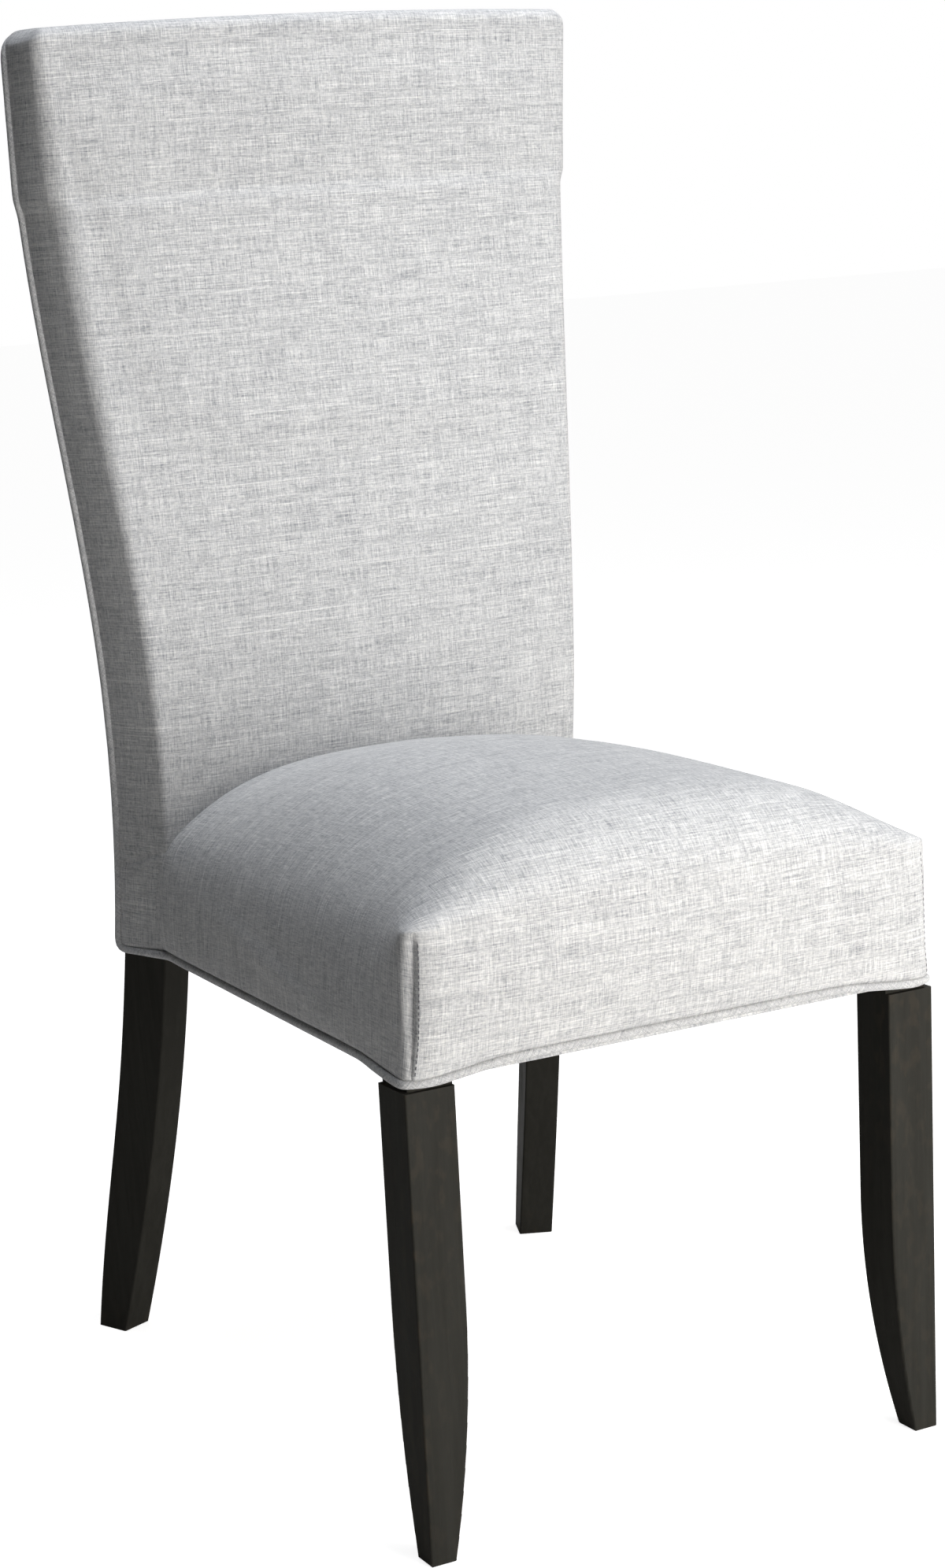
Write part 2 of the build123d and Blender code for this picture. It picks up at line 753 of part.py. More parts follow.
# The whole chair
def make_chair():
    """Every node of the chair, by name."""
    screws = block_screws()
    pins = rail_dowels()
    crest_pins = crest_dowels()
    leg = make_front_leg()
    post = make_rear_post()
    side_rail = make_side_rail(post)
    both_pins = pins + [mirrored(pin) for pin in pins]
    both_crest_pins = crest_pins + [mirrored(pin) for pin in crest_pins]
    posts = [post, mirrored(post)]
    right = {
        "front_leg": drilled(leg, screws + pins),
        "rear_post": drilled(post, screws + pins + crest_pins),
        "side_rail": drilled(side_rail, screws + pins),
        "corner_block_front": drilled(make_front_block(leg, side_rail), screws + pins),
        "corner_block_rear": drilled(make_rear_block(post, side_rail), screws + pins),
    }
    front_half = half_front - leg_size
    front_rail = cross_rail(0, rail_thickness, front_half, rail_bottom, rail_height)
    rear_rail = cross_rail(rear_rail_setback, rail_thickness, seat_rear_half, rail_bottom, rail_height)
    back_rail = cross_rail(
        back_rail_setback, back_rail_thickness, seat_rear_half, back_rail_bottom, back_rail_height
    )
    crest = make_crest_rail()
    for piece in posts:
        rear_rail = main_body(rear_rail - piece)
        back_rail = main_body(back_rail - piece)
    long_straps, cross_straps, back_straps = (
        make_seat_webbing_long(), make_seat_webbing_cross(), make_back_webbing()
    )
    welt = make_welt()
    inner_parts = posts + [crest, back_rail] + back_straps.solids()
    cover, panel, foam, lower, form = back_pieces(inner_parts, welt)
    crest = main_body(crest - cover - panel)
    seat_straps = long_straps.solids() + cross_straps.solids()
    seat_cover, seat_foam = seat_pieces(seat_straps, lower, form, welt)
    nodes = {
        "front_rail": drilled(front_rail, both_pins),
        "rear_rail": drilled(rear_rail, both_pins),
        "back_rail": drilled(back_rail, both_pins),
        "crest_rail": drilled(crest, both_crest_pins),
        "block_screws": both_sides(screws),
        "rail_dowels": both_sides(pins),
        "crest_dowels": both_sides(crest_pins),
        "seat_webbing_long": long_straps,
        "seat_webbing_cross": cross_straps,
        "back_webbing": back_straps,
        "dust_cover": make_dust_cover([leg, post]),
        "back_cover": cover,
        "outside_back": panel,
        "back_foam": foam,
        "seat_cover": seat_cover,
        "seat_foam": seat_foam,
        "welt": welt,
    }
    for name, piece in right.items():
        nodes[name + "_left"] = piece
        nodes[name + "_right"] = mirrored(piece)
    return nodes


os.makedirs("parts", exist_ok=True)
chair = make_chair()
low_y = min(piece.bounding_box().min.Y for piece in chair.values())
high_y = max(piece.bounding_box().max.Y for piece in chair.values())
for name, piece in sorted(chair.items()):
    placed = Pos(0, -(low_y + high_y) / 2, 0) * piece
    export_step(placed, "parts/" + name + ".step")
    print(name, len(placed.solids()), round(placed.volume), placed.is_valid)
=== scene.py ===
import math

import bpy
import numpy as np
from mathutils import Matrix, Vector, noise
from mathutils.bvhtree import BVHTree
from mathutils.kdtree import KDTree


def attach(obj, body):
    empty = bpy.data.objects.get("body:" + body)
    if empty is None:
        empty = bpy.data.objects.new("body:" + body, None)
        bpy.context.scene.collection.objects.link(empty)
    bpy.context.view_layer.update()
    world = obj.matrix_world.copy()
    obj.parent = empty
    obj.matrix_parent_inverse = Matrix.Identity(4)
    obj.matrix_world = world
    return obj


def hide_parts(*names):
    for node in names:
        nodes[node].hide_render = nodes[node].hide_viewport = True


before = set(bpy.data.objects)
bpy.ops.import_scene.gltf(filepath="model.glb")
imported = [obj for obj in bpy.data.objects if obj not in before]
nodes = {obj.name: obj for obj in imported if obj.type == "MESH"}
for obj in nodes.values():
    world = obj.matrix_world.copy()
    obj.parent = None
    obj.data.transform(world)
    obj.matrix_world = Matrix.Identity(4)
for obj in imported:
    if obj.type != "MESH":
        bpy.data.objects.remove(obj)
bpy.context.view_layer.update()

MM = 0.001
SHIFT_Y = -290.6  # lengths below count y from the front legs' front face
FOOT_Z = 352.0  # lower edge of the upholstery at the back
HEAD_Z = 1080.0  # top of the back, at its middle
ARCH = 4.0  # how much lower the top of the back is at its corners
WAIST_Z = 540.0  # height of the rear posts' waist, where they stand furthest forward
WAIST_Y = 445.0  # front of the rear posts at the waist
TURN = math.radians(23.0)  # turn of the rear posts in plan
LEAN = math.tan(math.radians(1.9))  # outward lean of the rear posts
OUT = (math.cos(TURN), -math.sin(TURN))  # outward from a post's side
ALONG = (math.sin(TURN), math.cos(TURN))  # along a post's side, to the rear
SEAT_HALF = 222.0  # half width of the seat's lower edge at the front
TOP_HALF = 216.0  # half width of the seat's top at the front
LEG_HALF = 216.0  # outer face of the front leg's top, inside the cover
FRONT_Y = -4.5  # lower front edge of the seat's cover
ROUND_END = 52.0  # where the rounded front of the seat's top ends
CROWN_Y, CROWN_Z = 200.0, 525.0  # highest point of the seat
BASE_Z = 363.0  # inner part of the seat's base, above the dust cover


# Sizes of the chair in millimetres, as the CAD part has them
def post_front(z):
    if z < WAIST_Z:
        return WAIST_Y + 108.5 * ((WAIST_Z - z) / WAIST_Z) ** 1.8
    s = min((z - WAIST_Z) / 405, 1.0)
    return WAIST_Y + 38 * (s * s * (3 - 2 * s) + 0.5 * s * s * (s - 1))


def post_depth(z):
    s = min(max(0, (z - FOOT_Z) / (945 - FOOT_Z)), 1.0)
    return 46.5 - 14.5 * s


def from_corner(z, outward, along):
    """Point in plan, given from the front outer corner of the rear post at height z."""
    y = post_front(z)
    x = 216.4 - (553.5 - y) * math.tan(TURN) + z * LEAN / math.cos(TURN)
    return (x + outward * OUT[0] + along * ALONG[0], y + outward * OUT[1] + along * ALONG[1])


def lerp(a, b, t):
    return a + (b - a) * t


def smooth(a, b, v):
    t = min(max((v - a) / (b - a), 0.0), 1.0)
    return t * t * (3 - 2 * t)


def mix_points(p, q, t):
    return tuple((lerp(a[0], b[0], t), lerp(a[1], b[1], t)) for a, b in zip(p, q))


def body_plan(z):
    """Front corner, rear corner and rear knee of the back below the head."""
    s = min(max((z - FOOT_Z) / (WAIST_Z - FOOT_Z), 0), 1)
    side = 3.8 + (7.5 - 3.8) * s
    front = 3.8 + (8.5 - 3.8) * s
    rear = post_depth(z) + 3
    return from_corner(z, side, -front), from_corner(z, side, rear), from_corner(z, -30, rear)


def head_plan(z):
    """The same three points for the head, over the crest rail's ears."""
    s = (z - 951) / 189
    return (229 + 10 * s, 474.5), (244.0, 512.5), (206.0, 526.5)


def back_plan(z):
    """Front corner, rear corner and rear knee of the back's right half at height z."""
    if z <= 939:
        return body_plan(z)
    if z >= 953:
        return head_plan(z)
    return mix_points(body_plan(939), head_plan(953), smooth(939, 953, z))


def corner_radius(z):
    zs = [352, 440, 540, 640, 739, 845, 939, 1000, 1046, 1080]
    rs = [3, 5, 8.5, 11, 14, 19, 22, 19, 14, 12]
    return float(np.interp(z, zs, rs))


# Mesh helpers
def to_world(p):
    return (p[0] * MM, (p[1] + SHIFT_Y) * MM, p[2] * MM)


def new_object(name, verts, faces, uvs, material):
    """verts in millimetres; uvs as one (u, v) in millimetres per face corner, or None."""
    mesh = bpy.data.meshes.new(name)
    mesh.from_pydata([to_world(v) for v in verts], [], faces)
    if uvs is not None:
        layer = mesh.uv_layers.new(name="thread")
        flat = np.array(uvs, dtype=np.float32).reshape(-1) * MM
        layer.data.foreach_set("uv", flat)
    mesh.polygons.foreach_set("use_smooth", [True] * len(mesh.polygons))
    mesh.update()
    obj = bpy.data.objects.new(name, mesh)
    bpy.context.scene.collection.objects.link(obj)
    mesh.materials.append(material)
    return obj


class Builder:
    """Collects patches of quads with thread coordinates; shared vertices are welded by key."""

    def __init__(self):
        self.verts, self.faces, self.uvs, self.index = [], [], [], {}

    def vertex(self, p):
        key = (round(p[0], 2), round(p[1], 2), round(p[2], 2))
        if key not in self.index:
            self.index[key] = len(self.verts)
            self.verts.append(tuple(p))
        return self.index[key]

    def patch(self, points, uv, flip=False):
        """points[row][column] and uv[row][column]."""
        ids = [[self.vertex(p) for p in row] for row in points]
        for r in range(len(ids) - 1):
            for c in range(len(ids[0]) - 1):
                quad = [(r, c), (r, c + 1), (r + 1, c + 1), (r + 1, c)]
                if flip:
                    quad.reverse()
                face, corner = [], []
                for a, b in quad:
                    if ids[a][b] not in face:
                        face.append(ids[a][b])
                        corner.append(uv[a][b])
                if len(face) > 2:
                    self.faces.append(face)
                    self.uvs.extend(corner)

    def object(self, name, material):
        return new_object(name, self.verts, self.faces, self.uvs, material)


def lengths(points):
    """Running length along a list of points."""
    total, out = 0.0, [0.0]
    for a, b in zip(points, points[1:]):
        total += math.dist(a, b)
        out.append(total)
    return out


def from_middle(points):
    """Running length along a list of points, counted from the middle one."""
    along = lengths(points)
    return [a - along[len(along) // 2] for a in along]


def wave(x, y, z, scale, seed=0.0):
    """Smooth noise from -1 to 1 over about the given number of millimetres."""
    return noise.noise(Vector((x / scale + seed, y / scale - seed, z / scale + 0.37 * seed)))


# Node helpers
class Graph:
    def __init__(self, name):
        self.material = bpy.data.materials.new(name)
        self.material.use_nodes = True
        self.tree = self.material.node_tree
        self.tree.nodes.clear()
        self.out = self.tree.nodes.new("ShaderNodeOutputMaterial")

    def node(self, kind, **settings):
        n = self.tree.nodes.new(kind)
        for key, value in settings.items():
            setattr(n, key, value)
        return n

    def link(self, a, b):
        self.tree.links.new(a, b)

    def fill(self, n, **values):
        """Sets inputs of a node by name, with _ for a space."""
        for key, value in values.items():
            n.inputs[key.replace("_", " ")].default_value = value

    def coords(self):
        return self.node("ShaderNodeTexCoord").outputs["Object"]

    def math(self, op, a, b=None, clamp=False):
        n = self.node("ShaderNodeMath", operation=op, use_clamp=clamp)
        for i, v in enumerate((a, b)):
            if v is None:
                continue
            if isinstance(v, (int, float)):
                n.inputs[i].default_value = v
            else:
                self.link(v, n.inputs[i])
        return n.outputs[0]

    def weighted(self, *pairs):
        """Sum of values, each times its weight."""
        total = None
        for value, weight in pairs:
            part = self.math("MULTIPLY", value, weight)
            total = part if total is None else self.math("ADD", total, part)
        return total

    def scaled(self, vector, scale, offset=(0, 0, 0), rotation=(0, 0, 0)):
        n = self.node("ShaderNodeMapping")
        self.link(vector, n.inputs["Vector"])
        self.fill(n, Scale=scale, Location=offset, Rotation=rotation)
        return n.outputs[0]

    def noise(self, vector, detail=2.0, rough=0.5, distortion=0.0):
        n = self.node("ShaderNodeTexNoise")
        self.link(vector, n.inputs["Vector"])
        self.fill(n, Scale=1.0, Detail=detail, Roughness=rough, Distortion=distortion)
        return n.outputs["Fac"]

    def ramp(self, value, low, high, a=0.0, b=1.0):
        n = self.node("ShaderNodeMapRange", interpolation_type="SMOOTHSTEP")
        self.link(value, n.inputs["Value"])
        self.fill(n, From_Min=low, From_Max=high, To_Min=a, To_Max=b)
        return n.outputs[0]

    def mix(self, factor, a, b):
        n = self.node("ShaderNodeMix", data_type="RGBA")
        for socket, v in ((n.inputs["Factor"], factor), (n.inputs[6], a), (n.inputs[7], b)):
            if isinstance(v, tuple):
                socket.default_value = (*v, 1.0)
            else:
                self.link(v, socket)
        return n.outputs[2]

    def finish(self, color, roughness, height, strength, distance, **constants):
        shader = self.node("ShaderNodeBsdfPrincipled")
        self.link(color, shader.inputs["Base Color"])
        self.link(roughness, shader.inputs["Roughness"])
        self.fill(shader, **constants)
        bump = self.node("ShaderNodeBump")
        self.fill(bump, Strength=strength, Distance=distance)
        self.link(height, bump.inputs["Height"])
        self.link(bump.outputs[0], shader.inputs["Normal"])
        self.link(shader.outputs[0], self.out.inputs["Surface"])
        return self.material


# Materials
def linen(name, tilt=0.0, fine=1.0):
    """Slubbed linen: fine warp, uneven weft with pale slubs, heathered light and dark yarns."""
    dark, light, cream = (0.210, 0.218, 0.240), (0.905, 0.895, 0.875), (0.80, 0.79, 0.74)
    g = Graph(name)
    coords = g.node("ShaderNodeUVMap", uv_map="thread").outputs[0]
    base = g.scaled(coords, (fine, fine, 1), rotation=(0, 0, tilt))
    wobble = g.noise(g.scaled(base, (9, 9, 1)), 1.0)
    shift = g.math("MULTIPLY", g.math("SUBTRACT", wobble, 0.5), 0.0012)
    comb = g.node("ShaderNodeCombineXYZ")
    g.link(shift, comb.inputs[0])
    g.link(shift, comb.inputs[1])
    add = g.node("ShaderNodeVectorMath", operation="ADD")
    g.link(base, add.inputs[0])
    g.link(comb.outputs[0], add.inputs[1])
    thread = add.outputs[0]
    weft = g.noise(g.scaled(thread, (38, 1250, 1)), 3.0, 0.6)
    warp = g.noise(g.scaled(thread, (1250, 68, 1), (3.1, 7.7, 0)), 3.0, 0.6)
    slub = g.noise(g.scaled(thread, (18, 660, 1), (11.0, 2.0, 0)), 2.0, 0.5)
    slub_long = g.noise(g.scaled(thread, (6, 480, 1), (5.0, 21.0, 0)), 1.5, 0.5)
    warp_slub = g.noise(g.scaled(thread, (620, 30, 1), (17.0, 4.0, 0)), 2.0, 0.5)
    fleck = g.noise(g.scaled(thread, (420, 520, 1), (2.0, 9.0, 0)), 2.0, 0.6)
    cloud = g.noise(g.scaled(thread, (26, 34, 1), (8.0, 1.0, 0)), 3.0, 0.55)
    band = g.noise(g.scaled(thread, (9, 240, 1), (6.0, 13.0, 0)), 2.0, 0.6)
    stripe = g.noise(g.scaled(thread, (240, 12, 1), (15.0, 3.0, 0)), 2.0, 0.6)
    slub_on = g.ramp(slub, 0.60, 0.76)
    long_on = g.ramp(slub_long, 0.63, 0.74)
    warp_on = g.ramp(warp_slub, 0.62, 0.78)
    yarns = ((weft, 1.2), (warp, 1.2), (fleck, 0.7), (cloud, 0.18), (band, 0.42), (stripe, 0.30))
    parts = [(g.math("SUBTRACT", yarn, 0.5), weight) for yarn, weight in yarns]
    value = g.weighted(*parts, (slub_on, 0.18), (long_on, 0.21), (warp_on, 0.16))
    value = g.math("ADD", value, 0.48, clamp=True)
    color = g.mix(value, dark, light)
    tint = g.ramp(g.noise(g.scaled(thread, (160, 700, 1), (1.0, 31.0, 0)), 2.0), 0.45, 0.72)
    color = g.mix(g.math("MULTIPLY", tint, 0.35), color, cream)
    split = g.node("ShaderNodeSeparateXYZ")
    g.link(thread, split.inputs[0])
    over = g.math("SINE", g.math("MULTIPLY", split.outputs[0], 2 * math.pi / 0.0011))
    under = g.math("SINE", g.math("MULTIPLY", split.outputs[1], 2 * math.pi / 0.0012))
    weave = g.math("MULTIPLY", g.math("MULTIPLY", over, under), 0.5)
    height = g.weighted((weave, 0.35), (weft, 0.6), (warp, 0.5), (slub_on, 0.35), (long_on, 0.35))
    rough = g.ramp(weft, 0.3, 0.7, 0.97, 0.84)
    return g.finish(
        color, rough, height, 0.55, 0.0006, Sheen_Weight=0.12, Sheen_Roughness=0.5, Specular_IOR_Level=0.25
    )


def dark_wood(name):
    """Espresso stained hardwood under satin lacquer, worn a little on its edges."""
    g = Graph(name)
    coords = g.coords()
    grain = g.noise(g.scaled(coords, (160, 160, 7)), 6.0, 0.6, 0.6)
    pores = g.noise(g.scaled(coords, (900, 900, 26), (4, 2, 1)), 2.0, 0.5)
    bands = g.noise(g.scaled(coords, (42, 42, 3), (1, 5, 2)), 2.0, 0.5, 1.2)
    tone = g.weighted((grain, 0.6), (bands, 0.4))
    color = g.mix(g.ramp(tone, 0.35, 0.68), (0.0275, 0.0264, 0.0226), (0.0345, 0.0333, 0.0287))
    geometry = g.node("ShaderNodeNewGeometry")
    edge = g.ramp(geometry.outputs["Pointiness"], 0.52, 0.60)
    scuff = g.ramp(g.noise(g.scaled(coords, (120, 120, 60), (7, 3, 5)), 3.0), 0.48, 0.66)
    worn = g.math("MULTIPLY", g.math("MULTIPLY", edge, scuff), 0.18)
    color = g.mix(worn, color, (0.10, 0.075, 0.05))
    pore_on = g.ramp(pores, 0.60, 0.72)
    smudge = g.noise(g.scaled(coords, (28, 28, 14), (2, 8, 3)), 3.0)
    rough = g.math("ADD", g.ramp(smudge, 0.3, 0.7, 0.42, 0.54), g.math("MULTIPLY", pore_on, 0.12))
    height = g.math("SUBTRACT", g.math("MULTIPLY", grain, 0.5), g.math("MULTIPLY", pore_on, 0.8))
    return g.finish(color, rough, height, 0.22, 0.0003, Specular_IOR_Level=0.03)


def pale_wood(name, base=(0.52, 0.37, 0.22), dark=(0.36, 0.23, 0.12)):
    """Bare planed hardwood of the inner frame."""
    g = Graph(name)
    coords = g.coords()
    grain = g.noise(g.scaled(coords, (22, 210, 210)), 6.0, 0.62, 0.8)
    bands = g.noise(g.scaled(coords, (5, 55, 55), (3, 1, 2)), 2.0, 0.5, 1.5)
    tone = g.weighted((grain, 0.55), (bands, 0.45))
    color = g.mix(g.ramp(tone, 0.36, 0.66), dark, base)
    rough = g.ramp(grain, 0.3, 0.7, 0.75, 0.6)
    return g.finish(color, rough, grain, 0.3, 0.0004)


def webbing_cloth(name):
    g = Graph(name)
    coords = g.coords()
    cross = g.noise(g.scaled(coords, (700, 700, 700)), 2.0, 0.5)
    rib = g.noise(g.scaled(coords, (90, 420, 420), (2, 5, 1)), 2.0, 0.5)
    tone = g.weighted((cross, 0.5), (rib, 0.5))
    color = g.mix(g.ramp(tone, 0.35, 0.65), (0.24, 0.17, 0.09), (0.55, 0.45, 0.30))
    return g.finish(color, g.ramp(rib, 0.3, 0.7, 0.9, 0.75), tone, 0.6, 0.0008)


def dust_cloth(name):
    """Black non-woven cloth under the seat, with a faint pattern of pressed points."""
    g = Graph(name)
    coords = g.coords()
    fibre = g.noise(g.scaled(coords, (520, 520, 520)), 5.0, 0.7, 1.0)
    dots = g.node("ShaderNodeTexVoronoi")
    g.link(g.scaled(coords, (520, 520, 520)), dots.inputs["Vector"])
    g.fill(dots, Scale=1.0, Randomness=0.1)
    point = g.ramp(dots.outputs["Distance"], 0.2, 0.4)
    color = g.mix(g.ramp(fibre, 0.35, 0.7), (0.010, 0.010, 0.011), (0.040, 0.040, 0.042))
    height = g.weighted((fibre, 0.5), (point, 0.5))
    return g.finish(color, g.ramp(point, 0.0, 1.0, 0.6, 0.92), height, 0.5, 0.0004)


def zinc(name):
    g = Graph(name)
    coords = g.coords()
    spangle = g.noise(g.scaled(coords, (400, 400, 400)), 3.0, 0.6)
    color = g.mix(g.ramp(spangle, 0.35, 0.65), (0.42, 0.42, 0.40), (0.68, 0.67, 0.64))
    return g.finish(color, g.ramp(spangle, 0.3, 0.7, 0.25, 0.45), spangle, 0.15, 0.0003, Metallic=1.0)


def thread_and_seam_shade(name):
    """Grey twisted polyester thread; its dark grey is also painted shade for the crease along the corner seams.
    """
    g = Graph(name)
    coords = g.coords()
    ply = g.noise(g.scaled(coords, (900, 900, 2200), rotation=(0.6, 0, 0)), 2.0, 0.5)
    # painted shade: the thread's dark grey also stands in for the shade along the corner seams
    color = g.mix(g.ramp(ply, 0.3, 0.7), (0.10, 0.10, 0.11), (0.22, 0.22, 0.24))
    return g.finish(color, g.ramp(ply, 0.3, 0.7, 0.8, 0.6), ply, 0.4, 0.0002)


linen_main = linen("linen")
linen_bias = linen("linen_bias", tilt=math.radians(38), fine=1.7)
seam_shade_thread_mat = thread_and_seam_shade("thread_and_seam_shade")
espresso = dark_wood("espresso_wood")
bare_wood = pale_wood("frame_wood")
dowel_wood = pale_wood("dowel_wood", (0.66, 0.52, 0.36), (0.5, 0.36, 0.22))
web_mat = webbing_cloth("webbing")
dust_mat = dust_cloth("dust_cloth")
zinc_mat = zinc("zinc_steel")


# Back upholstery
FRONT_HALF, FILLET, SIDE = 36, 8, 8  # columns of the grid: half the front, the corner, the side
BACK_CROWN = 8.0  # how far the front bows forward at its middle


def unit(a, b):
    d = math.dist(a, b)
    return ((b[0] - a[0]) / d, (b[1] - a[1]) / d)


def rounded(corner, d_in, d_out, radius, count):
    """Points of an arc that rounds a corner between two directions."""
    dot = max(-1, min(1, d_in[0] * d_out[0] + d_in[1] * d_out[1]))
    angle = math.acos(dot)
    reach = radius * math.tan(angle / 2)
    a = (corner[0] - d_in[0] * reach, corner[1] - d_in[1] * reach)
    side = 1 if d_in[0] * d_out[1] - d_in[1] * d_out[0] > 0 else -1
    centre = (a[0] - side * d_in[1] * radius, a[1] + side * d_in[0] * radius)
    start = math.atan2(a[1] - centre[1], a[0] - centre[0])
    out = []
    for i in range(count + 1):
        t = start + side * angle * i / count
        out.append((centre[0] + radius * math.cos(t), centre[1] + radius * math.sin(t)))
    return out


def overlap(z, t):
    """The seat's cover laps over the back's side below a slanting crease; t runs front to rear."""
    crease = 438 - 16 * t
    step = 1.5 * (1 - smooth(crease - 2.0, crease + 0.8, z)) * (1 - t ** 5)
    return step - 1.1 * math.exp(-((z - crease - 0.8) / 1.5) ** 2)


def front_chain(z):
    """Half plan of the front and side, from the middle of the front to the rear corner."""
    c1, c2, _ = back_plan(z)
    slope = 2 * BACK_CROWN / c1[0]
    d_in = unit((0, 0), (1, slope))
    d_out = unit(c1, c2)
    arc = rounded(c1, d_in, d_out, corner_radius(z), FILLET)
    half = []
    for i in range(FRONT_HALF):
        x = arc[0][0] * i / FRONT_HALF
        half.append((x, c1[1] - BACK_CROWN * (1 - (x / c1[0]) ** 2)))
    offset = arc[0][1] - (c1[1] - BACK_CROWN * (1 - (arc[0][0] / c1[0]) ** 2))
    half = [(x, y + offset * (i / FRONT_HALF) ** 4) for i, (x, y) in enumerate(half)]
    half += arc
    last = arc[-1]
    for k in range(1, FILLET + 1):
        x, y = arc[k]
        over = (overlap(z, 0.0) - tuck(z, FOOT_Z, 2.8)) * smooth(0, FILLET, k)
        half[FRONT_HALF + k] = (x + over * OUT[0], y + over * OUT[1])
    for i in range(1, SIDE + 1):
        t = i / SIDE
        puff = 1.1 * math.sin(math.pi * t) + overlap(z, t) - tuck(z, FOOT_Z, 2.8) * (1 - t ** 4)
        half.append((lerp(last[0], c2[0], t) + puff * OUT[0], lerp(last[1], c2[1], t) + puff * OUT[1]))
    return half


def rear_chain(z):
    """Half plan of the rear, from the middle to the rear corner, with as many points."""
    _, c2, knee = back_plan(z)
    total = FRONT_HALF + FILLET + SIDE
    flat = total - 18
    arc = rounded(knee, (1, 0), unit(knee, c2), 14, 8)
    half = []
    for i in range(flat):
        half.append((arc[0][0] * i / flat, knee[1]))
    half += arc
    last = arc[-1]
    steps = total - flat - 8
    for i in range(1, steps + 1):
        t = i / steps
        half.append((lerp(last[0], c2[0], t), lerp(last[1], c2[1], t)))
    return half


def arch_drop(x):
    """How much lower the top of the back is at x than at its middle."""
    return ARCH * (x / 244) ** 2


def round_top_corner(p, radius=13.0):
    """Rounds the head's upper corners as seen from the front."""
    x, y, z = p
    c1, c2, _ = head_plan(HEAD_Z)
    share = min(max((y - c1[1]) / (c2[1] - c1[1]), 0.0), 1.0)
    reach = lerp(c1[0], c2[0], share)
    top = HEAD_Z - arch_drop(x)
    u = (abs(x) - (reach - radius)) / radius
    w = (z - (top - radius)) / radius
    if u <= 0 or w <= 0:
        return p
    u, w = min(u, 1.15), min(w, 1.1)
    nu = u * math.sqrt(max(0.0, 1 - w * w / 2))
    nw = w * math.sqrt(max(0.0, 1 - u * u / 2))
    return (math.copysign(reach - radius + nu * radius, x), y, top - radius + nw * radius)


def whole(half):
    """Both halves of a plan, from a line of its right half."""
    return [(-x, y) for x, y in half[:0:-1]] + half


def make_back():
    b = Builder()
    roll = 9.0
    top = HEAD_Z - roll
    levels = [FOOT_Z, 353.3, 354.6, 356.0, 357.6, 359.6, 363]
    for first, last, count in ((370, 410, 6), (415, 445, 19), (452, 936, 72), (937, 955, 10), (961, top, 17)):
        levels += list(np.linspace(first, last, count))

    def lift(x, z):
        return z - arch_drop(x) * smooth(900, top, z)

    rows, uv_rows = [], []
    for z in levels:
        chain = whole(front_chain(z))
        rows.append([(x, y, lift(x, z)) for x, y in chain])
        uv_rows.append([(a, z) for a in from_middle(chain)])
    chain = whole(front_chain(top))
    count = len(chain)
    inward = []
    for i in range(count):
        p, q = chain[max(i - 1, 0)], chain[min(i + 1, count - 1)]
        d = unit(p, q)
        inward.append((-d[1], d[0]))
    along = lengths(chain)
    for k in range(1, 7):
        phi = math.pi / 2 * k / 6
        q = roll * (1 - math.cos(phi))
        rise = roll * math.sin(phi)
        row = []
        for i, (x, y) in enumerate(chain):
            near_end = min(along[i], along[-1] - along[i])
            keep = smooth(0, 14, near_end)
            px = x + inward[i][0] * q * keep
            py = y + inward[i][1] * q * keep
            row.append((px, py, top - arch_drop(x) + rise))
        rows.append(row)
        uv_rows.append([(u, levels[-1] + roll * phi) for u, v in uv_rows[-1]])
    rear_top = whole(rear_chain(HEAD_Z))
    edge = rows[-1]
    for k in range(1, 9):
        t = k / 8
        row, uv = [], []
        for i in range(count):
            x = lerp(edge[i][0], rear_top[i][0], t)
            y = lerp(edge[i][1], rear_top[i][1], t)
            row.append((x, y, HEAD_Z - arch_drop(x) + 1.2 * math.sin(math.pi * t)))
            uv.append((uv_rows[-1][i][0], uv_rows[len(levels) + 5][i][1] + 40 * t))
        rows.append(row)
        uv_rows.append(uv)
    b.patch(rows, uv_rows)
    rear_rows, rear_uv = [], []
    for z in levels + [HEAD_Z]:
        chain = whole(rear_chain(z))
        rear_rows.append(rows[-1] if z == HEAD_Z else [(x, y, lift(x, z)) for x, y in chain])
        rear_uv.append([(a + 900, z) for a in from_middle(chain)])
    b.patch(rear_rows, rear_uv, flip=True)
    under_a, under_b = rows[0], rear_rows[0]
    rows_b, uv_b = [], []
    for k in range(5):
        t = k / 4
        rows_b.append([tuple(lerp(p, q, t) for p, q in zip(pa, pb)) for pa, pb in zip(under_a, under_b)])
        uv_b.append([(p[0], -t * 40) for p in under_a])
    b.patch(rows_b, uv_b, flip=True)
    held = [back_held(*v) for v in b.verts]
    b.verts = [round_top_corner(v) for v in b.verts]
    return b.object("back_upholstery", linen_main), held


# Seat upholstery
def seat_low(y):
    """Half width of the seat's lower edge at y."""
    return SEAT_HALF - 28.5 * (y / WAIST_Y)


def seat_high(y):
    """Half width of the seat's top at y."""
    return seat_low(y) - 5.5 * (1 - y / WAIST_Y)


def seat_edge(y):
    """Height of the top's outer edge at y."""
    s = min(max(y / WAIST_Y, 0.0), 1.05)
    return 440 + 17 * (1 - s) ** 2


def seat_crown(y):
    """Height of the top's middle at y."""
    if y < CROWN_Y:
        t = (CROWN_Y - y) / CROWN_Y
        return CROWN_Z - 12 * t * t
    t = (y - CROWN_Y) / (WAIST_Y - CROWN_Y)
    return CROWN_Z - 25 * t * t


def front_bottom(x):
    """Height of the cover's lower edge along the front: low at the legs, lifted between them."""
    return 351.8 + 6.6 * (1 - smooth(128, 212, abs(x)))


def side_bottom(y):
    """The same along a side, where the edge falls slowly towards the rear leg."""
    return FOOT_Z + (6.2 * smooth(-4, 72, y) - 0.2) * min(max((420 - y) / 390, 0.0), 1.0)


def tuck(z, bottom, amount=4.0):
    """How far the cover is drawn in where it meets the welt."""
    return amount * math.exp(-(max(0.0, z - bottom) / 3.9) ** 2.4)


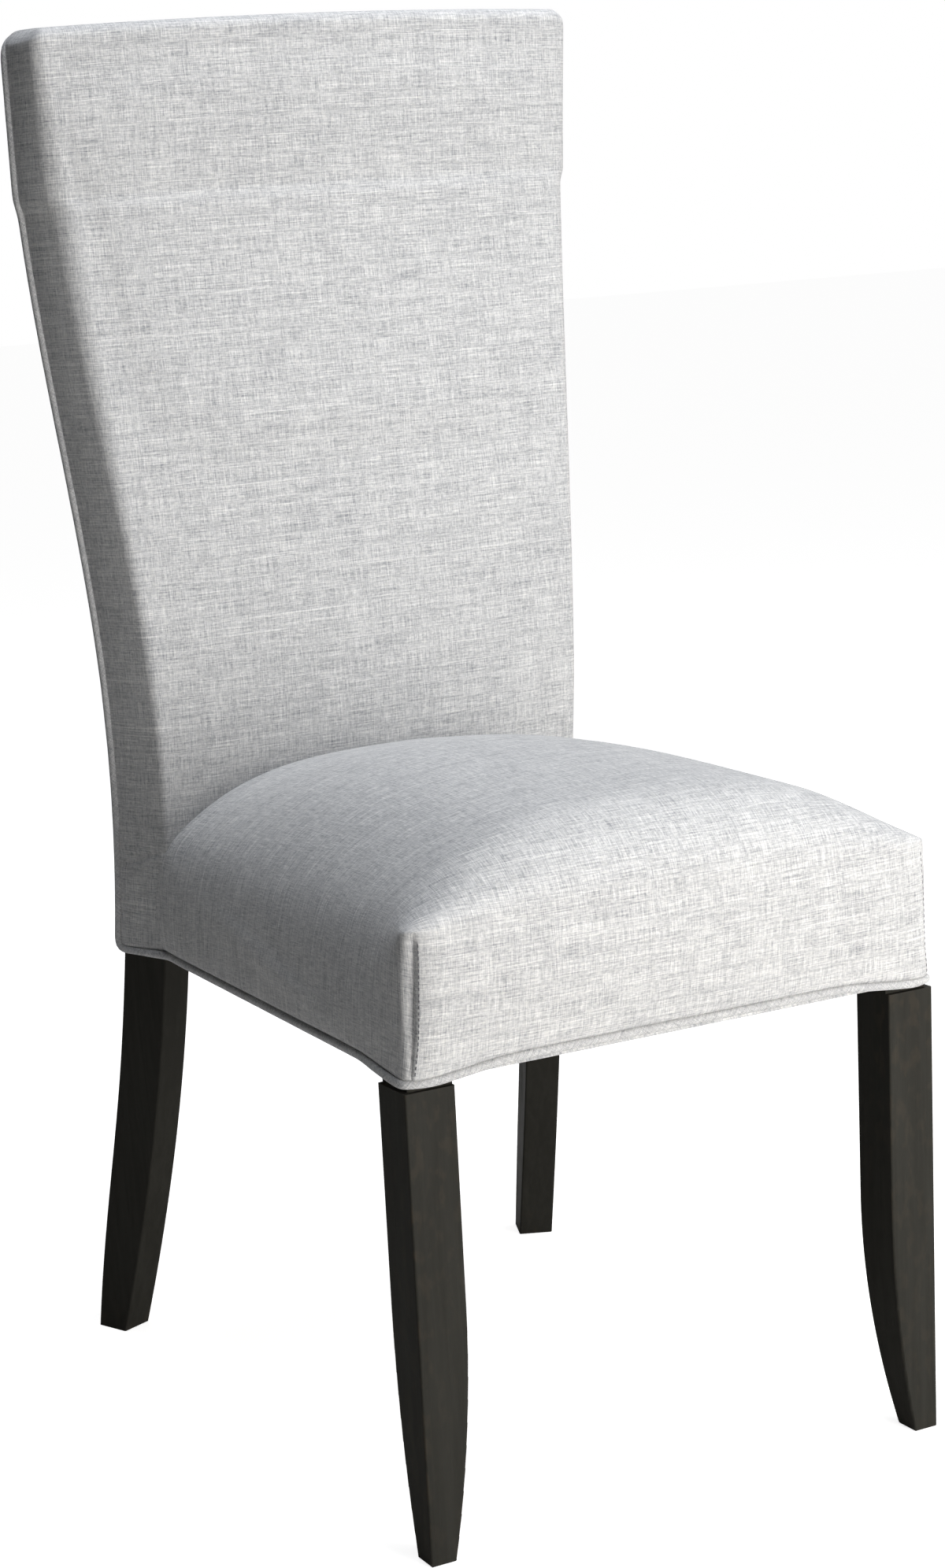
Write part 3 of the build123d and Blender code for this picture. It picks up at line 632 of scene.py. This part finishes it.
def round_front_corner(p):
    """Draws the cover in towards the upright seams at the seat's front corners."""
    x, y, z = p
    low = min(max((457 - z) / 105, 0.0), 1.0)
    a = max(0.0, lerp(seat_high(max(y, 0)), seat_low(max(y, 0)), low) - abs(x))
    b = max(0.0, y - lerp(seat_front_edge(x), FRONT_Y, low))
    if a > 60 or b > 130:
        return p
    amount = lerp(0.72, 1.0, smooth(FOOT_Z, 388, z)) * (1 - smooth(458, 500, z))
    near, far = max(0.0, 1 - b / 11), max(0.0, 1 - b / 64)
    slow = 3.6 - 2.1 * smooth(395, 425, z)
    from_side = ((8.0 - slow) * near ** 2 + slow * far ** 2) * max(0.0, 1 - a / 40) ** 2
    from_front = 4.2 * max(0.0, 1 - a / 26) ** 2 * max(0.0, 1 - b / 40) ** 2
    seam = 1.3 * math.exp(-((a + b) / 1.8) ** 2) * (1 - smooth(452, 458, z))
    seam += tuck(z, front_bottom(x), 3.0) * math.exp(-((a + b) / 12) ** 2)
    side = math.copysign(1.0, x)
    return (x - side * (from_side * amount + seam), y + from_front * amount + seam, z)


def clear_of_leg(p, gap=1.0):
    """Keeps a point of the cover outside the top of the front leg."""
    x, y, z = p
    if y < 1 or y > 47 or z > 441 or abs(x) < 205:
        return p
    least = LEG_HALF + gap - 12 * (1 - smooth(1, 3.2, y)) - 8 * smooth(39, 47, y) - 12 * smooth(430, 441, z)
    return (math.copysign(max(abs(x), least), x), y, z)


def dome(s, y, yf):
    """Point of the seat's top at share s of its half width, where its front edge is at yf."""
    w = seat_high(y)
    e = seat_edge(y)
    c = seat_crown(y)
    roll = min(max((ROUND_END - y) / (ROUND_END - yf), 0.0), 1.0)
    g = math.sqrt(max(0.0, 1 - roll * roll))
    side = (1 - abs(s) ** 2.8) ** 0.87 if abs(s) < 1 else 0.0
    z = e + (c - e) * side * g
    z += 1.1 * wave(s * 200, y, 0, 90, 2.0) * side * g
    return (s * w, y, z)


def seat_front_edge(x):
    """Front edge of the seat's top at x, bowed forward at the middle."""
    return -8 - 4 * (1 - (x / TOP_HALF) ** 2)


def ease_line(points, weights, rounds):
    """Rounds off a line of points where the weights allow it, ends fixed."""
    p = np.array(points, dtype=float)
    w = np.array(weights, dtype=float)[1:-1, None] * 0.5
    for _ in range(rounds):
        p[1:-1] += w * ((p[:-2] + p[2:]) / 2 - p[1:-1])
    return [tuple(q) for q in p]


def make_seat():
    b = Builder()
    count, depth = 84, 22  # columns of the top, rows of the sides
    shares = [0.925 * k / 15 for k in range(16)] + [0.94, 0.952, 0.962, 0.971, 0.980, 0.990, 1.0]
    bend = 0.86
    quarter = math.pi / 2
    stations = [math.sin(quarter * bend * k) / math.sin(quarter * bend) for k in np.linspace(-1, 1, count + 1)]
    span = 62
    offsets = [span * (1 - math.cos(quarter * k / 14)) for k in range(15)]
    rows = []
    for off in offsets:
        row = []
        for s in stations:
            yf = seat_front_edge(s * TOP_HALF)
            y = yf + off * (ROUND_END - yf) / span
            row.append(dome(s, y, yf))
        rows.append(row)
    for y in np.linspace(ROUND_END, 500, 72)[1:]:
        rows.append([dome(s, float(y), -10) for s in stations])

    front = []
    for q in shares:
        row = []
        for c, s in enumerate(stations):
            x0, y0, z0 = rows[0][c]
            bottom = front_bottom(s * SEAT_HALF)
            z = lerp(z0, bottom, q)
            x = lerp(x0, s * SEAT_HALF, q)
            edge_share = 1 - 0.55 * abs(s) ** 5
            bulge = 5.6 * edge_share * 4 * q * (1 - q)
            y = lerp(y0, FRONT_Y, q) - bulge + tuck(z, bottom) * smooth(1.0, 0.93, abs(s))
            y += 0.6 * wave(x, 0, z, 55, 5.0) * math.sin(math.pi * q)
            row.append((x, y, z))
        front.append(row)

    sections = []
    for r, row in enumerate(rows):
        y0 = row[0][1]
        y_mid = row[count // 2][1]
        skirts = []
        for side, col in ((-1, 0), (1, count)):
            x0, y0, z0 = row[col]
            bottom = side_bottom(y0)
            low = seat_low(max(y0, 0))
            line = []
            for k, q in enumerate(shares):
                z = lerp(z0, bottom, q)
                x = lerp(abs(x0), low, q) + 4.5 * 4 * q * (1 - q) * smooth(-12, 40, y0)
                x += 0.6 * wave(0, y0, z, 55, 9.0 + side) * math.sin(math.pi * q)
                x -= tuck(z, bottom, lerp(2.2, 4.0, smooth(41, 80, y0))) * smooth(-8, 12, y0)
                near = smooth(0, 26, y0 - rows[0][col][1])
                fx, fy, fz = front[k][col]
                x = lerp(abs(fx), x, near)
                z = lerp(fz, z, near)
                y = y0 + (fy - rows[0][col][1]) * (1 - near)
                line.append((side * x, y, z))
            skirts.append(line)
        left, right = skirts
        line = left[::-1] + list(row[1:-1]) + right
        ease = smooth(-4, 60, y_mid) * (1 - 0.75 * smooth(415, 450, y_mid))
        weights = []
        for i in range(len(line)):
            from_edge = min(abs(i - depth), abs(i - (depth + count)))
            outside = i < depth or i > depth + count
            weights.append(ease * (smooth(15, 5, from_edge) if outside else smooth(20, 6, from_edge)))
        line = ease_line(line, weights, 90) if ease > 0 else line
        sections.append(line)
    left = [front[k][0] for k in range(depth, 0, -1)]
    right = [front[k][count] for k in range(1, depth + 1)]
    sections[0] = left + list(rows[0]) + right
    first, last_col = depth, depth + count
    u = [from_middle(row) for row in sections]
    v = []
    for column in zip(*sections):
        along = lengths(column)
        drop = 513 - max(column[0][2], rows[0][0][2])
        v.append([a - 290 - drop * (1 - smooth(0, 230, a)) for a in along])
    uv = [[(u[r][c], v[c][r]) for c in range(len(sections[0]))] for r in range(len(sections))]
    b.patch(sections, uv)

    front_uv = []
    for k in range(depth + 1):
        row = []
        for c in range(count + 1):
            u0, v0 = uv[0][first + c]
            row.append((u0, v0 - (front[0][c][2] - front[k][c][2])))
        front_uv.append(row)
    b.patch(front, front_uv, flip=True)

    base, base_uv = [], []
    for r, line in enumerate(sections):
        row, uvr = [], []
        for c, s in enumerate(stations):
            t = (s + 1) / 2
            a, d = line[0], line[-1]
            x, y, z = (lerp(p, q, t) for p, q in zip(a, d))
            inside = smooth(0, 0.014, min(t, 1 - t)) * smooth(-6, 6, y)
            row.append(front[-1][c] if r == 0 else (x, y, lerp(z, BASE_Z, inside)))
            uvr.append((s * 220, line[0][1]))
        base.append(row)
        base_uv.append(uvr)
    b.patch(base, base_uv, flip=True)

    last = sections[-1]
    back_rows, back_uv = [], []
    for k in range(depth + 1):
        q = k / depth
        row = []
        for c in range(count + 1):
            top_point = last[first + c]
            if k == 0:
                row.append(top_point)
            elif c == 0:
                row.append(last[first - k])
            elif c == count:
                row.append(last[last_col + k])
            elif k == depth:
                row.append(base[-1][c])
            else:
                row.append((top_point[0], top_point[1], lerp(top_point[2], base[-1][c][2], q)))
        back_rows.append(row)
        back_uv.append([(p[0], p[2]) for p in row])
    b.patch(back_rows, back_uv)
    # The corner seams, the lower edge and the part behind the back's front stay put
    seam = {b.vertex(row[c]) for row in front for c in (0, count)}
    held = [i in seam or v[2] < 358.6 or v[1] > 428 for i, v in enumerate(b.verts)]
    b.verts = [clear_of_leg(round_front_corner(v)) for v in b.verts]
    line = sorted((b.verts[b.vertex(row[count])] for row in front), key=lambda v: v[2])
    return b.object("seat_upholstery", linen_main), held, line


# Cloth simulation of the covers
def swell(obj, held, give, cap, shrink, pressure=4.0, frames=20):
    """Lets pressure from inside swell a cover held along its seams, then keeps the result.

    held is true for each point that stays where it is, give is how many millimetres from
    them the cover needs to come fully free, cap is how far any point may move, and shrink
    is how far inside its place the cover starts."""
    mesh = obj.data
    count = len(mesh.vertices)
    start = np.empty(count * 3)
    mesh.vertices.foreach_get("co", start)
    start = start.reshape(-1, 3) / MM
    normal = np.empty(count * 3, dtype=np.float32)
    mesh.vertices.foreach_get("normal", normal)
    normal = normal.reshape(-1, 3)
    pinned = np.array(held)
    anchors = KDTree(int(pinned.sum()))
    for k, i in enumerate(np.nonzero(pinned)[0]):
        anchors.insert(Vector(start[i]), k)
    anchors.balance()
    away = [anchors.find(Vector(point))[2] for point in start]
    free = np.array([0.0 if pin else smooth(0, give, d) for pin, d in zip(pinned, away)])
    begin = start - normal * (shrink * free)[:, None]
    mesh.vertices.foreach_set("co", (begin * MM).reshape(-1))
    mesh.update()
    group = obj.vertex_groups.new(name="pin")
    group.add([int(i) for i in np.nonzero(pinned)[0]], 1.0, "REPLACE")
    cloth = obj.modifiers.new("cloth", "CLOTH")
    cloth.settings.quality = 5
    cloth.settings.mass = 0.3
    cloth.settings.tension_stiffness = 15
    cloth.settings.compression_stiffness = 15
    cloth.settings.shear_stiffness = 5
    cloth.settings.bending_stiffness = 0.5
    cloth.settings.shrink_min = 0.006
    cloth.settings.vertex_group_mass = "pin"
    cloth.settings.use_pressure = True
    cloth.settings.uniform_pressure_force = pressure
    cloth.settings.effector_weights.gravity = 0
    cloth.collision_settings.use_collision = False
    cloth.collision_settings.use_self_collision = False
    cloth.point_cache.frame_start = 1
    cloth.point_cache.frame_end = frames
    scene = bpy.context.scene
    for f in range(1, frames + 1):
        scene.frame_set(f)
    shaped = obj.evaluated_get(bpy.context.evaluated_depsgraph_get())
    end = np.empty(count * 3)
    shaped.data.vertices.foreach_get("co", end)
    end = end.reshape(-1, 3) / MM
    move = end - begin
    size = np.linalg.norm(move, axis=1)
    move *= np.minimum(1.0, cap / np.maximum(size, 1e-6))[:, None]
    sunk = np.minimum(((begin + move - start) * normal).sum(axis=1) + 0.5, 0.0)
    move -= normal * sunk[:, None]
    obj.modifiers.remove(cloth)
    obj.vertex_groups.clear()
    move = (begin + move - start) * free[:, None] + start - begin
    mesh.vertices.foreach_set("co", ((begin + move) * MM).reshape(-1))
    mesh.update()
    scene.frame_set(1)


def back_held(x, y, z):
    """Points of the back's cover that stay put: the sides, the rear, the top and behind the seat."""
    c1, c2, _ = back_plan(z)
    share = ((abs(x) - c1[0]) * (c2[0] - c1[0]) + (y - c1[1]) * (c2[1] - c1[1])) / math.dist(c1, c2) ** 2
    side = share > 0.3 and abs(x) > c1[0] - 3
    return side or y > c2[1] - 1.5 or z < 500 or z > 1074


def add_subdivision(obj):
    mod = obj.modifiers.new("subdivision", "SUBSURF")
    mod.levels = mod.render_levels = 1
    mod.uv_smooth = "PRESERVE_BOUNDARIES"


# Welt
def turn(a, corner, b, count):
    """Points of a curve from a to b that turns at the corner, without its start."""
    curve = []
    for t in np.arange(1, count + 1) / count:
        curve.append(tuple((1 - t) ** 2 * p + 2 * t * (1 - t) * q + t * t * r for p, q, r in zip(a, corner, b)))
    return curve


def welt_route():
    """Closed route of the welt, from the middle of the front, to +X, up, over and round."""
    half = []
    inward, radius = 1.6, 8.0  # from the cover's lower edge, and of the front corner
    centre = (SEAT_HALF - radius, FRONT_Y + radius)
    for x in np.linspace(0, centre[0], 54):
        half.append((float(x), FRONT_Y + inward, front_bottom(float(x))))
    low = front_bottom(centre[0])
    for i in range(1, 9):
        t = -math.pi / 2 + math.pi / 2 * i / 8
        half.append((centre[0] + radius * math.cos(t), centre[1] + (radius - inward) * math.sin(t), low))
    for y in np.linspace(8, 448, 100):
        half.append((seat_low(float(y)) - inward * smooth(41, 80, y), float(y), side_bottom(float(y))))
    c2 = back_plan(FOOT_Z)[1]
    start = half[-1]
    end = (c2[0], c2[1], FOOT_Z)
    run = math.dist(start, end)
    reach = 6.0
    for i in range(1, 12):
        t = i / 11 * (1 - reach / run)
        half.append(tuple(lerp(a, c, t) for a, c in zip(start, end)))
    up = (*back_plan(FOOT_Z + reach)[1], FOOT_Z + reach)
    half += turn(half[-1], end, up, 8)
    for z in np.linspace(370, 1058, 150):
        x, y = back_plan(float(z))[1]
        half.append((x, y, float(z)))
    below = 3.0  # of the cord's middle under the top of the back
    top = HEAD_Z - ARCH - below
    x, y = back_plan(1070)[1]
    knee = back_plan(1070)[2]
    corner = (x, y, top)
    d = unit((x, y), knee)
    after = (x + d[0] * 13, y + d[1] * 13, top + 0.4)
    half += turn(half[-1], corner, after, 9)
    for x, y in rear_chain(HEAD_Z - ARCH)[::-1]:
        if x < after[0] - 3:
            half.append((x, y, HEAD_Z - arch_drop(x) - below))
    half = [round_top_corner(clear_of_leg(round_front_corner(p), 3.4)) for p in half]
    left = [(-x, y, z) for x, y, z in half[1:-1]][::-1]
    return half + left


def evenly(points, step):
    """Points of a closed line at equal steps, and the step."""
    pts = [Vector(p) for p in points]
    pts.append(pts[0])
    along = lengths(pts)
    total = along[-1]
    n = int(total / step)
    out, j = [], 0
    for i in range(n):
        d = total * i / n
        while along[j + 1] < d:
            j += 1
        t = (d - along[j]) / max(along[j + 1] - along[j], 1e-6)
        out.append(pts[j].lerp(pts[j + 1], t))
    return out, total / n


def relax(points, rounds):
    """Smooths a closed line of points."""
    n = len(points)
    for _ in range(rounds):
        points = [(points[i - 1] + points[i] * 2 + points[(i + 1) % n]) / 4 for i in range(n)]
    return points


def make_welt(radius=3.2):
    path, step = evenly(welt_route(), 3.4)
    path = relax(path, 3)
    n = len(path)
    sides = 12
    tangents = [(path[(i + 1) % n] - path[i - 1]).normalized() for i in range(n)]
    normal = Vector((0, 0, 1))
    normal = (normal - tangents[0] * normal.dot(tangents[0])).normalized()
    frames = []
    for i in range(n):
        normal = (normal - tangents[i] * normal.dot(tangents[i])).normalized()
        frames.append(normal.copy())
    angle = math.atan2(frames[0].dot(frames[-1].cross(tangents[0])), frames[0].dot(frames[-1]))
    verts, faces, uvs = [], [], []
    for i in range(n):
        a = -angle * i / n
        q = Matrix.Rotation(a, 3, tangents[i])
        n1 = q @ frames[i]
        n2 = tangents[i].cross(n1)
        p = path[i]
        lump = 1 + 0.03 * wave(p.x, p.y, p.z, 14, 3.0)
        for k in range(sides):
            t = 2 * math.pi * k / sides
            v = p + (n1 * math.cos(t) + n2 * math.sin(t)) * radius * lump
            verts.append(tuple(v))
    w = 2 * math.pi * radius / sides
    for i in range(n):
        j = (i + 1) % n
        near, far = i * step, (i + 1) * step
        for k in range(sides):
            m = (k + 1) % sides
            faces.append([i * sides + k, i * sides + m, j * sides + m, j * sides + k])
            uvs += [(k * w, near), ((k + 1) * w, near), ((k + 1) * w, far), (k * w, far)]
    return new_object("welt_cord", verts, faces, uvs, linen_bias)


# Stitches down the seams of the seat's front corners; their dark thread also paints the shade of the seams
def make_stitches(seat, line, pitch=4.2, size=0.4):
    """Short raised stitches beside each corner seam, on the front face."""
    tree = BVHTree.FromObject(seat, bpy.context.evaluated_depsgraph_get())
    heights = [p[2] for p in line]
    verts, faces = [], []
    for side in (-1, 1):
        for z in np.arange(360.0, 452.0, pitch):
            ends = []
            for level in (z - 1.25, z + 1.25):
                x = float(np.interp(level, heights, [p[0] for p in line])) - 1.5
                y = float(np.interp(level, heights, [p[1] for p in line]))
                hit = tree.ray_cast(Vector(to_world((side * x, -60, level))), Vector((0, 1, 0)))[0]
                if hit and abs(hit.y / MM - SHIFT_Y - y) < 3:
                    ends.append((hit.x / MM, hit.y / MM - SHIFT_Y - 0.1, hit.z / MM))
            if len(ends) < 2:
                continue
            base = len(verts)
            for t, grow in ((0.0, 0.5), (0.3, 1.0), (0.7, 1.0), (1.0, 0.5)):
                px, py, pz = (lerp(p, q, t) for p, q in zip(*ends))
                for k in range(6):
                    turn = math.pi / 3 * k
                    verts.append((px + size * grow * math.cos(turn), py + size * grow * math.sin(turn), pz))
            for ring in range(3):
                for k in range(6):
                    m = (k + 1) % 6
                    a = base + ring * 6
                    faces.append([a + k, a + m, a + 6 + m, a + 6 + k])
            faces.append([base + k for k in range(5, -1, -1)])
            faces.append([base + 18 + k for k in range(6)])
    return new_object("corner_stitches", verts, faces, None, seam_shade_thread_mat)


# Webbing of the seat and the back
def make_strap(builder, start, end, across, width=50.0, thick=1.4):
    """A flat strap between two points; across is the unit vector of its width."""
    a, b, side = Vector(start), Vector(end), Vector(across)
    up = (b - a).normalized().cross(side).normalized()
    if up.z < -0.5:
        up = -up
    count = 30
    top, bottom = [], []
    for i in range(count + 1):
        p = a.lerp(b, i / count)
        line = [p + side * (k / 4 - 0.5) * width for k in range(5)]
        top.append([tuple(q + up * thick / 2) for q in line])
        bottom.append([tuple(q - up * thick / 2) for q in line])
    uv = [[(k * width / 4, i * 10.0) for k in range(5)] for i in range(count + 1)]
    builder.patch(top, uv)
    builder.patch(bottom, uv, flip=True)
    for k in (0, 4):
        wall = [[top[i][k], bottom[i][k]] for i in range(count + 1)]
        builder.patch(wall, [[(0, i * 10.0), (1, i * 10.0)] for i in range(count + 1)], flip=k == 0)
    for i in (0, count):
        wall = [[top[i][k], bottom[i][k]] for k in range(5)]
        builder.patch(wall, [[(0, k * 12.0), (1, k * 12.0)] for k in range(5)], flip=i != 0)


def frame_half_width(y):
    """Half width of the seat frame at y; it narrows to the rear."""
    return 215 - 26.3 * (y - 39) / (462 - 39)


def make_webbing():
    pieces = []
    lower, upper = 420.8, 422.3  # middles of the two layers on the seat rails
    b = Builder()
    for x in (-123, -41, 41, 123):
        make_strap(b, (x, 7, lower), (x, 490, lower), (1, 0, 0))
    pieces.append(("seat_straps_long", b, "seat_webbing_long"))
    b = Builder()
    for k in (-1.5, -0.5, 0.5, 1.5):
        y = 248.5 + k * 82
        w = frame_half_width(y + 25) - 6.5
        make_strap(b, (-w, y, upper), (w, y, upper), (0, -1, 0))
    pieces.append(("seat_straps_cross", b, "seat_webbing_cross"))
    b = Builder()
    for x in (-117, -39, 39, 117):
        make_strap(b, (x, 464.2, 502), (x, 464.2, 532), (1, 0, 0))
        make_strap(b, (x, 464.3, 534), (x, 485.2, 945), (1, 0, 0))
        make_strap(b, (x, 485.2, 947), (x, 485.2, 976), (1, 0, 0))
    pieces.append(("back_straps", b, "back_webbing"))
    for name, builder, node in pieces:
        obj = builder.object(name, web_mat)
        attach(obj, "root")
        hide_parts(node)


# Dust cover with a slack middle
def make_dust_cover():
    b = Builder()
    rows, uv = [], []
    for y in np.linspace(7, 490, 50):
        w = frame_half_width(max(float(y), 39)) - 7
        row = []
        for k in range(45):
            s = k / 22 - 1
            x = s * w
            slack = (1 - abs(s) ** 3) * (1 - abs((y - 248) / 242) ** 3)
            z = 358.4 - 5.0 * slack + 0.35 * wave(x, float(y), 0, 45, 4.0)
            row.append((x, float(y), z))
        rows.append(row)
        uv.append([(p[0], p[1]) for p in row])
    b.patch(rows, uv, flip=True)
    return b.object("dust_cover_cloth", dust_mat)


# Build the pieces
back, back_pins = make_back()
swell(back, back_pins, 60, cap=2.5, shrink=0.6)
add_subdivision(back)
seat, seat_pins, seam_line = make_seat()
swell(seat, seat_pins, 30, cap=5.0, shrink=1.2)
for point in seat.data.vertices:
    px, py, pz = point.co / MM
    point.co = to_world(clear_of_leg((px, py - SHIFT_Y, pz)))
add_subdivision(seat)
welt = make_welt()
stitches = make_stitches(seat, seam_line)
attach(stitches, "root")
for piece, replaced, slot_name in (
    (back, ("back_cover", "outside_back", "back_foam"), "upholstery"),
    (seat, ("seat_cover", "seat_foam"), "upholstery"),
    (welt, ("welt",), "welt_cloth"),
):
    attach(piece, "root")
    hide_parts(*replaced)
make_webbing()
dust = make_dust_cover()
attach(dust, "root")
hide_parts("dust_cover")


def paint(node_name, material):
    obj = nodes[node_name]
    for material_slot in obj.material_slots:
        material_slot.material = material
    if not obj.material_slots:
        obj.data.materials.append(material)


for name in nodes:
    if name.startswith(("front_leg", "rear_post")):
        paint(name, espresso)
    elif name.endswith("dowels"):
        paint(name, dowel_wood)
    elif name == "block_screws":
        paint(name, zinc_mat)
    elif "rail" in name or "corner_block" in name:
        paint(name, bare_wood)


# Floor, light and camera
def make_stage():
    mesh = bpy.data.meshes.new("floor")
    r = 30.0
    mesh.from_pydata([(-r, -r, 0), (r, -r, 0), (r, r, 0), (-r, r, 0)], [], [[0, 1, 2, 3]])
    obj = bpy.data.objects.new("floor", mesh)
    bpy.context.scene.collection.objects.link(obj)
    g = Graph("floor")
    coords = g.coords()
    speck = g.noise(g.scaled(coords, (3, 3, 3)), 4.0)
    color = g.mix(speck, (0.80, 0.785, 0.76), (0.84, 0.825, 0.80))
    diffuse = g.node("ShaderNodeBsdfDiffuse")
    g.link(color, diffuse.inputs["Color"])
    glow = g.node("ShaderNodeEmission")
    path = g.node("ShaderNodeLightPath")
    away = g.node("ShaderNodeVectorMath", operation="LENGTH")
    g.link(coords, away.inputs[0])
    pale = g.ramp(away.outputs["Value"], 0.9, 3.2, 0.84, 0.97)
    g.link(g.math("MULTIPLY", path.outputs["Is Camera Ray"], pale), glow.inputs["Strength"])
    both = g.node("ShaderNodeAddShader")
    g.link(diffuse.outputs[0], both.inputs[0])
    g.link(glow.outputs[0], both.inputs[1])
    g.link(both.outputs[0], g.out.inputs["Surface"])
    mesh.materials.append(g.material)


def make_world(ambient):
    world = bpy.data.worlds.new("studio")
    bpy.context.scene.world = world
    world.use_nodes = True
    tree = world.node_tree
    tree.nodes.clear()
    out = tree.nodes.new("ShaderNodeOutputWorld")
    seen = tree.nodes.new("ShaderNodeBackground")
    seen.inputs["Color"].default_value = (1, 1, 1, 1)
    seen.inputs["Strength"].default_value = 1.0
    light = tree.nodes.new("ShaderNodeBackground")
    light.inputs["Color"].default_value = (1.0, 0.97, 0.92, 1)
    light.inputs["Strength"].default_value = ambient
    path = tree.nodes.new("ShaderNodeLightPath")
    direct = path.outputs["Is Camera Ray"]
    for ray in ("Is Glossy Ray", "Is Transmission Ray"):
        either = tree.nodes.new("ShaderNodeMath")
        either.operation = "MAXIMUM"
        tree.links.new(direct, either.inputs[0])
        tree.links.new(path.outputs[ray], either.inputs[1])
        direct = either.outputs[0]
    mix = tree.nodes.new("ShaderNodeMixShader")
    tree.links.new(direct, mix.inputs["Fac"])
    tree.links.new(light.outputs[0], mix.inputs[1])
    tree.links.new(seen.outputs[0], mix.inputs[2])
    tree.links.new(mix.outputs[0], out.inputs["Surface"])


def area_light(name, place, aim, size, power, color):
    data = bpy.data.lights.new(name, "AREA")
    data.shape = "DISK"
    data.size = size
    data.energy = power
    data.color = color
    obj = bpy.data.objects.new(name, data)
    obj.location = place
    direction = Vector(aim) - Vector(place)
    obj.rotation_euler = direction.to_track_quat("-Z", "Y").to_euler()
    bpy.context.scene.collection.objects.link(obj)


def make_camera():
    """The photograph's camera, fitted to the corners of the legs, seat and back."""
    az, pitch, roll = (math.radians(v) for v in (-24.4507, 13.96722, -4.0888))
    focal_pixels, frame_height, sensor = 3688.42, 1992, 36.0
    forward = Vector((-math.sin(az) * math.cos(pitch), math.cos(az) * math.cos(pitch), -math.sin(pitch)))
    right = Vector((math.cos(az), math.sin(az), 0))
    up = right.cross(forward)
    turned_right = right * math.cos(roll) + up * math.sin(roll)
    turned_up = -right * math.sin(roll) + up * math.cos(roll)
    data = bpy.data.cameras.new("camera")
    data.sensor_fit = "VERTICAL"
    data.sensor_height = sensor
    data.lens = focal_pixels / frame_height * sensor
    data.shift_x = 0.15
    data.shift_y = 0.12
    data.clip_end = 100
    obj = bpy.data.objects.new("camera", data)
    m = Matrix((turned_right, turned_up, -forward)).transposed().to_4x4()
    m.translation = Vector((-1.09105, -1.65898 + SHIFT_Y * MM, 0.90466))
    obj.matrix_world = m
    bpy.context.scene.collection.objects.link(obj)
    bpy.context.scene.camera = obj


make_stage()
make_world(0.008)
area_light("key", (1.2, -1.9, 1.0), (0.0, -0.3, 0.40), 0.9, 8, (1.0, 0.985, 0.965))
area_light("low", (0.45, -1.85, 0.50), (0.0, -0.3, 0.38), 0.9, 24.5, (1.0, 0.985, 0.965))
area_light("above", (0.9, -0.6, 2.4), (0.0, -0.1, 0.5), 1.2, 17, (0.95, 0.97, 1.0))
area_light("top", (0.1, -0.3, 3.0), (0, -0.05, 0.5), 1.4, 36, (0.89, 0.93, 1.0))
area_light("behind", (0.9, 2.3, 1.2), (0.0, 0.2, 0.6), 1.2, 8, (1.0, 0.985, 0.965))
make_camera()
bpy.context.scene.view_settings.view_transform = "Standard"
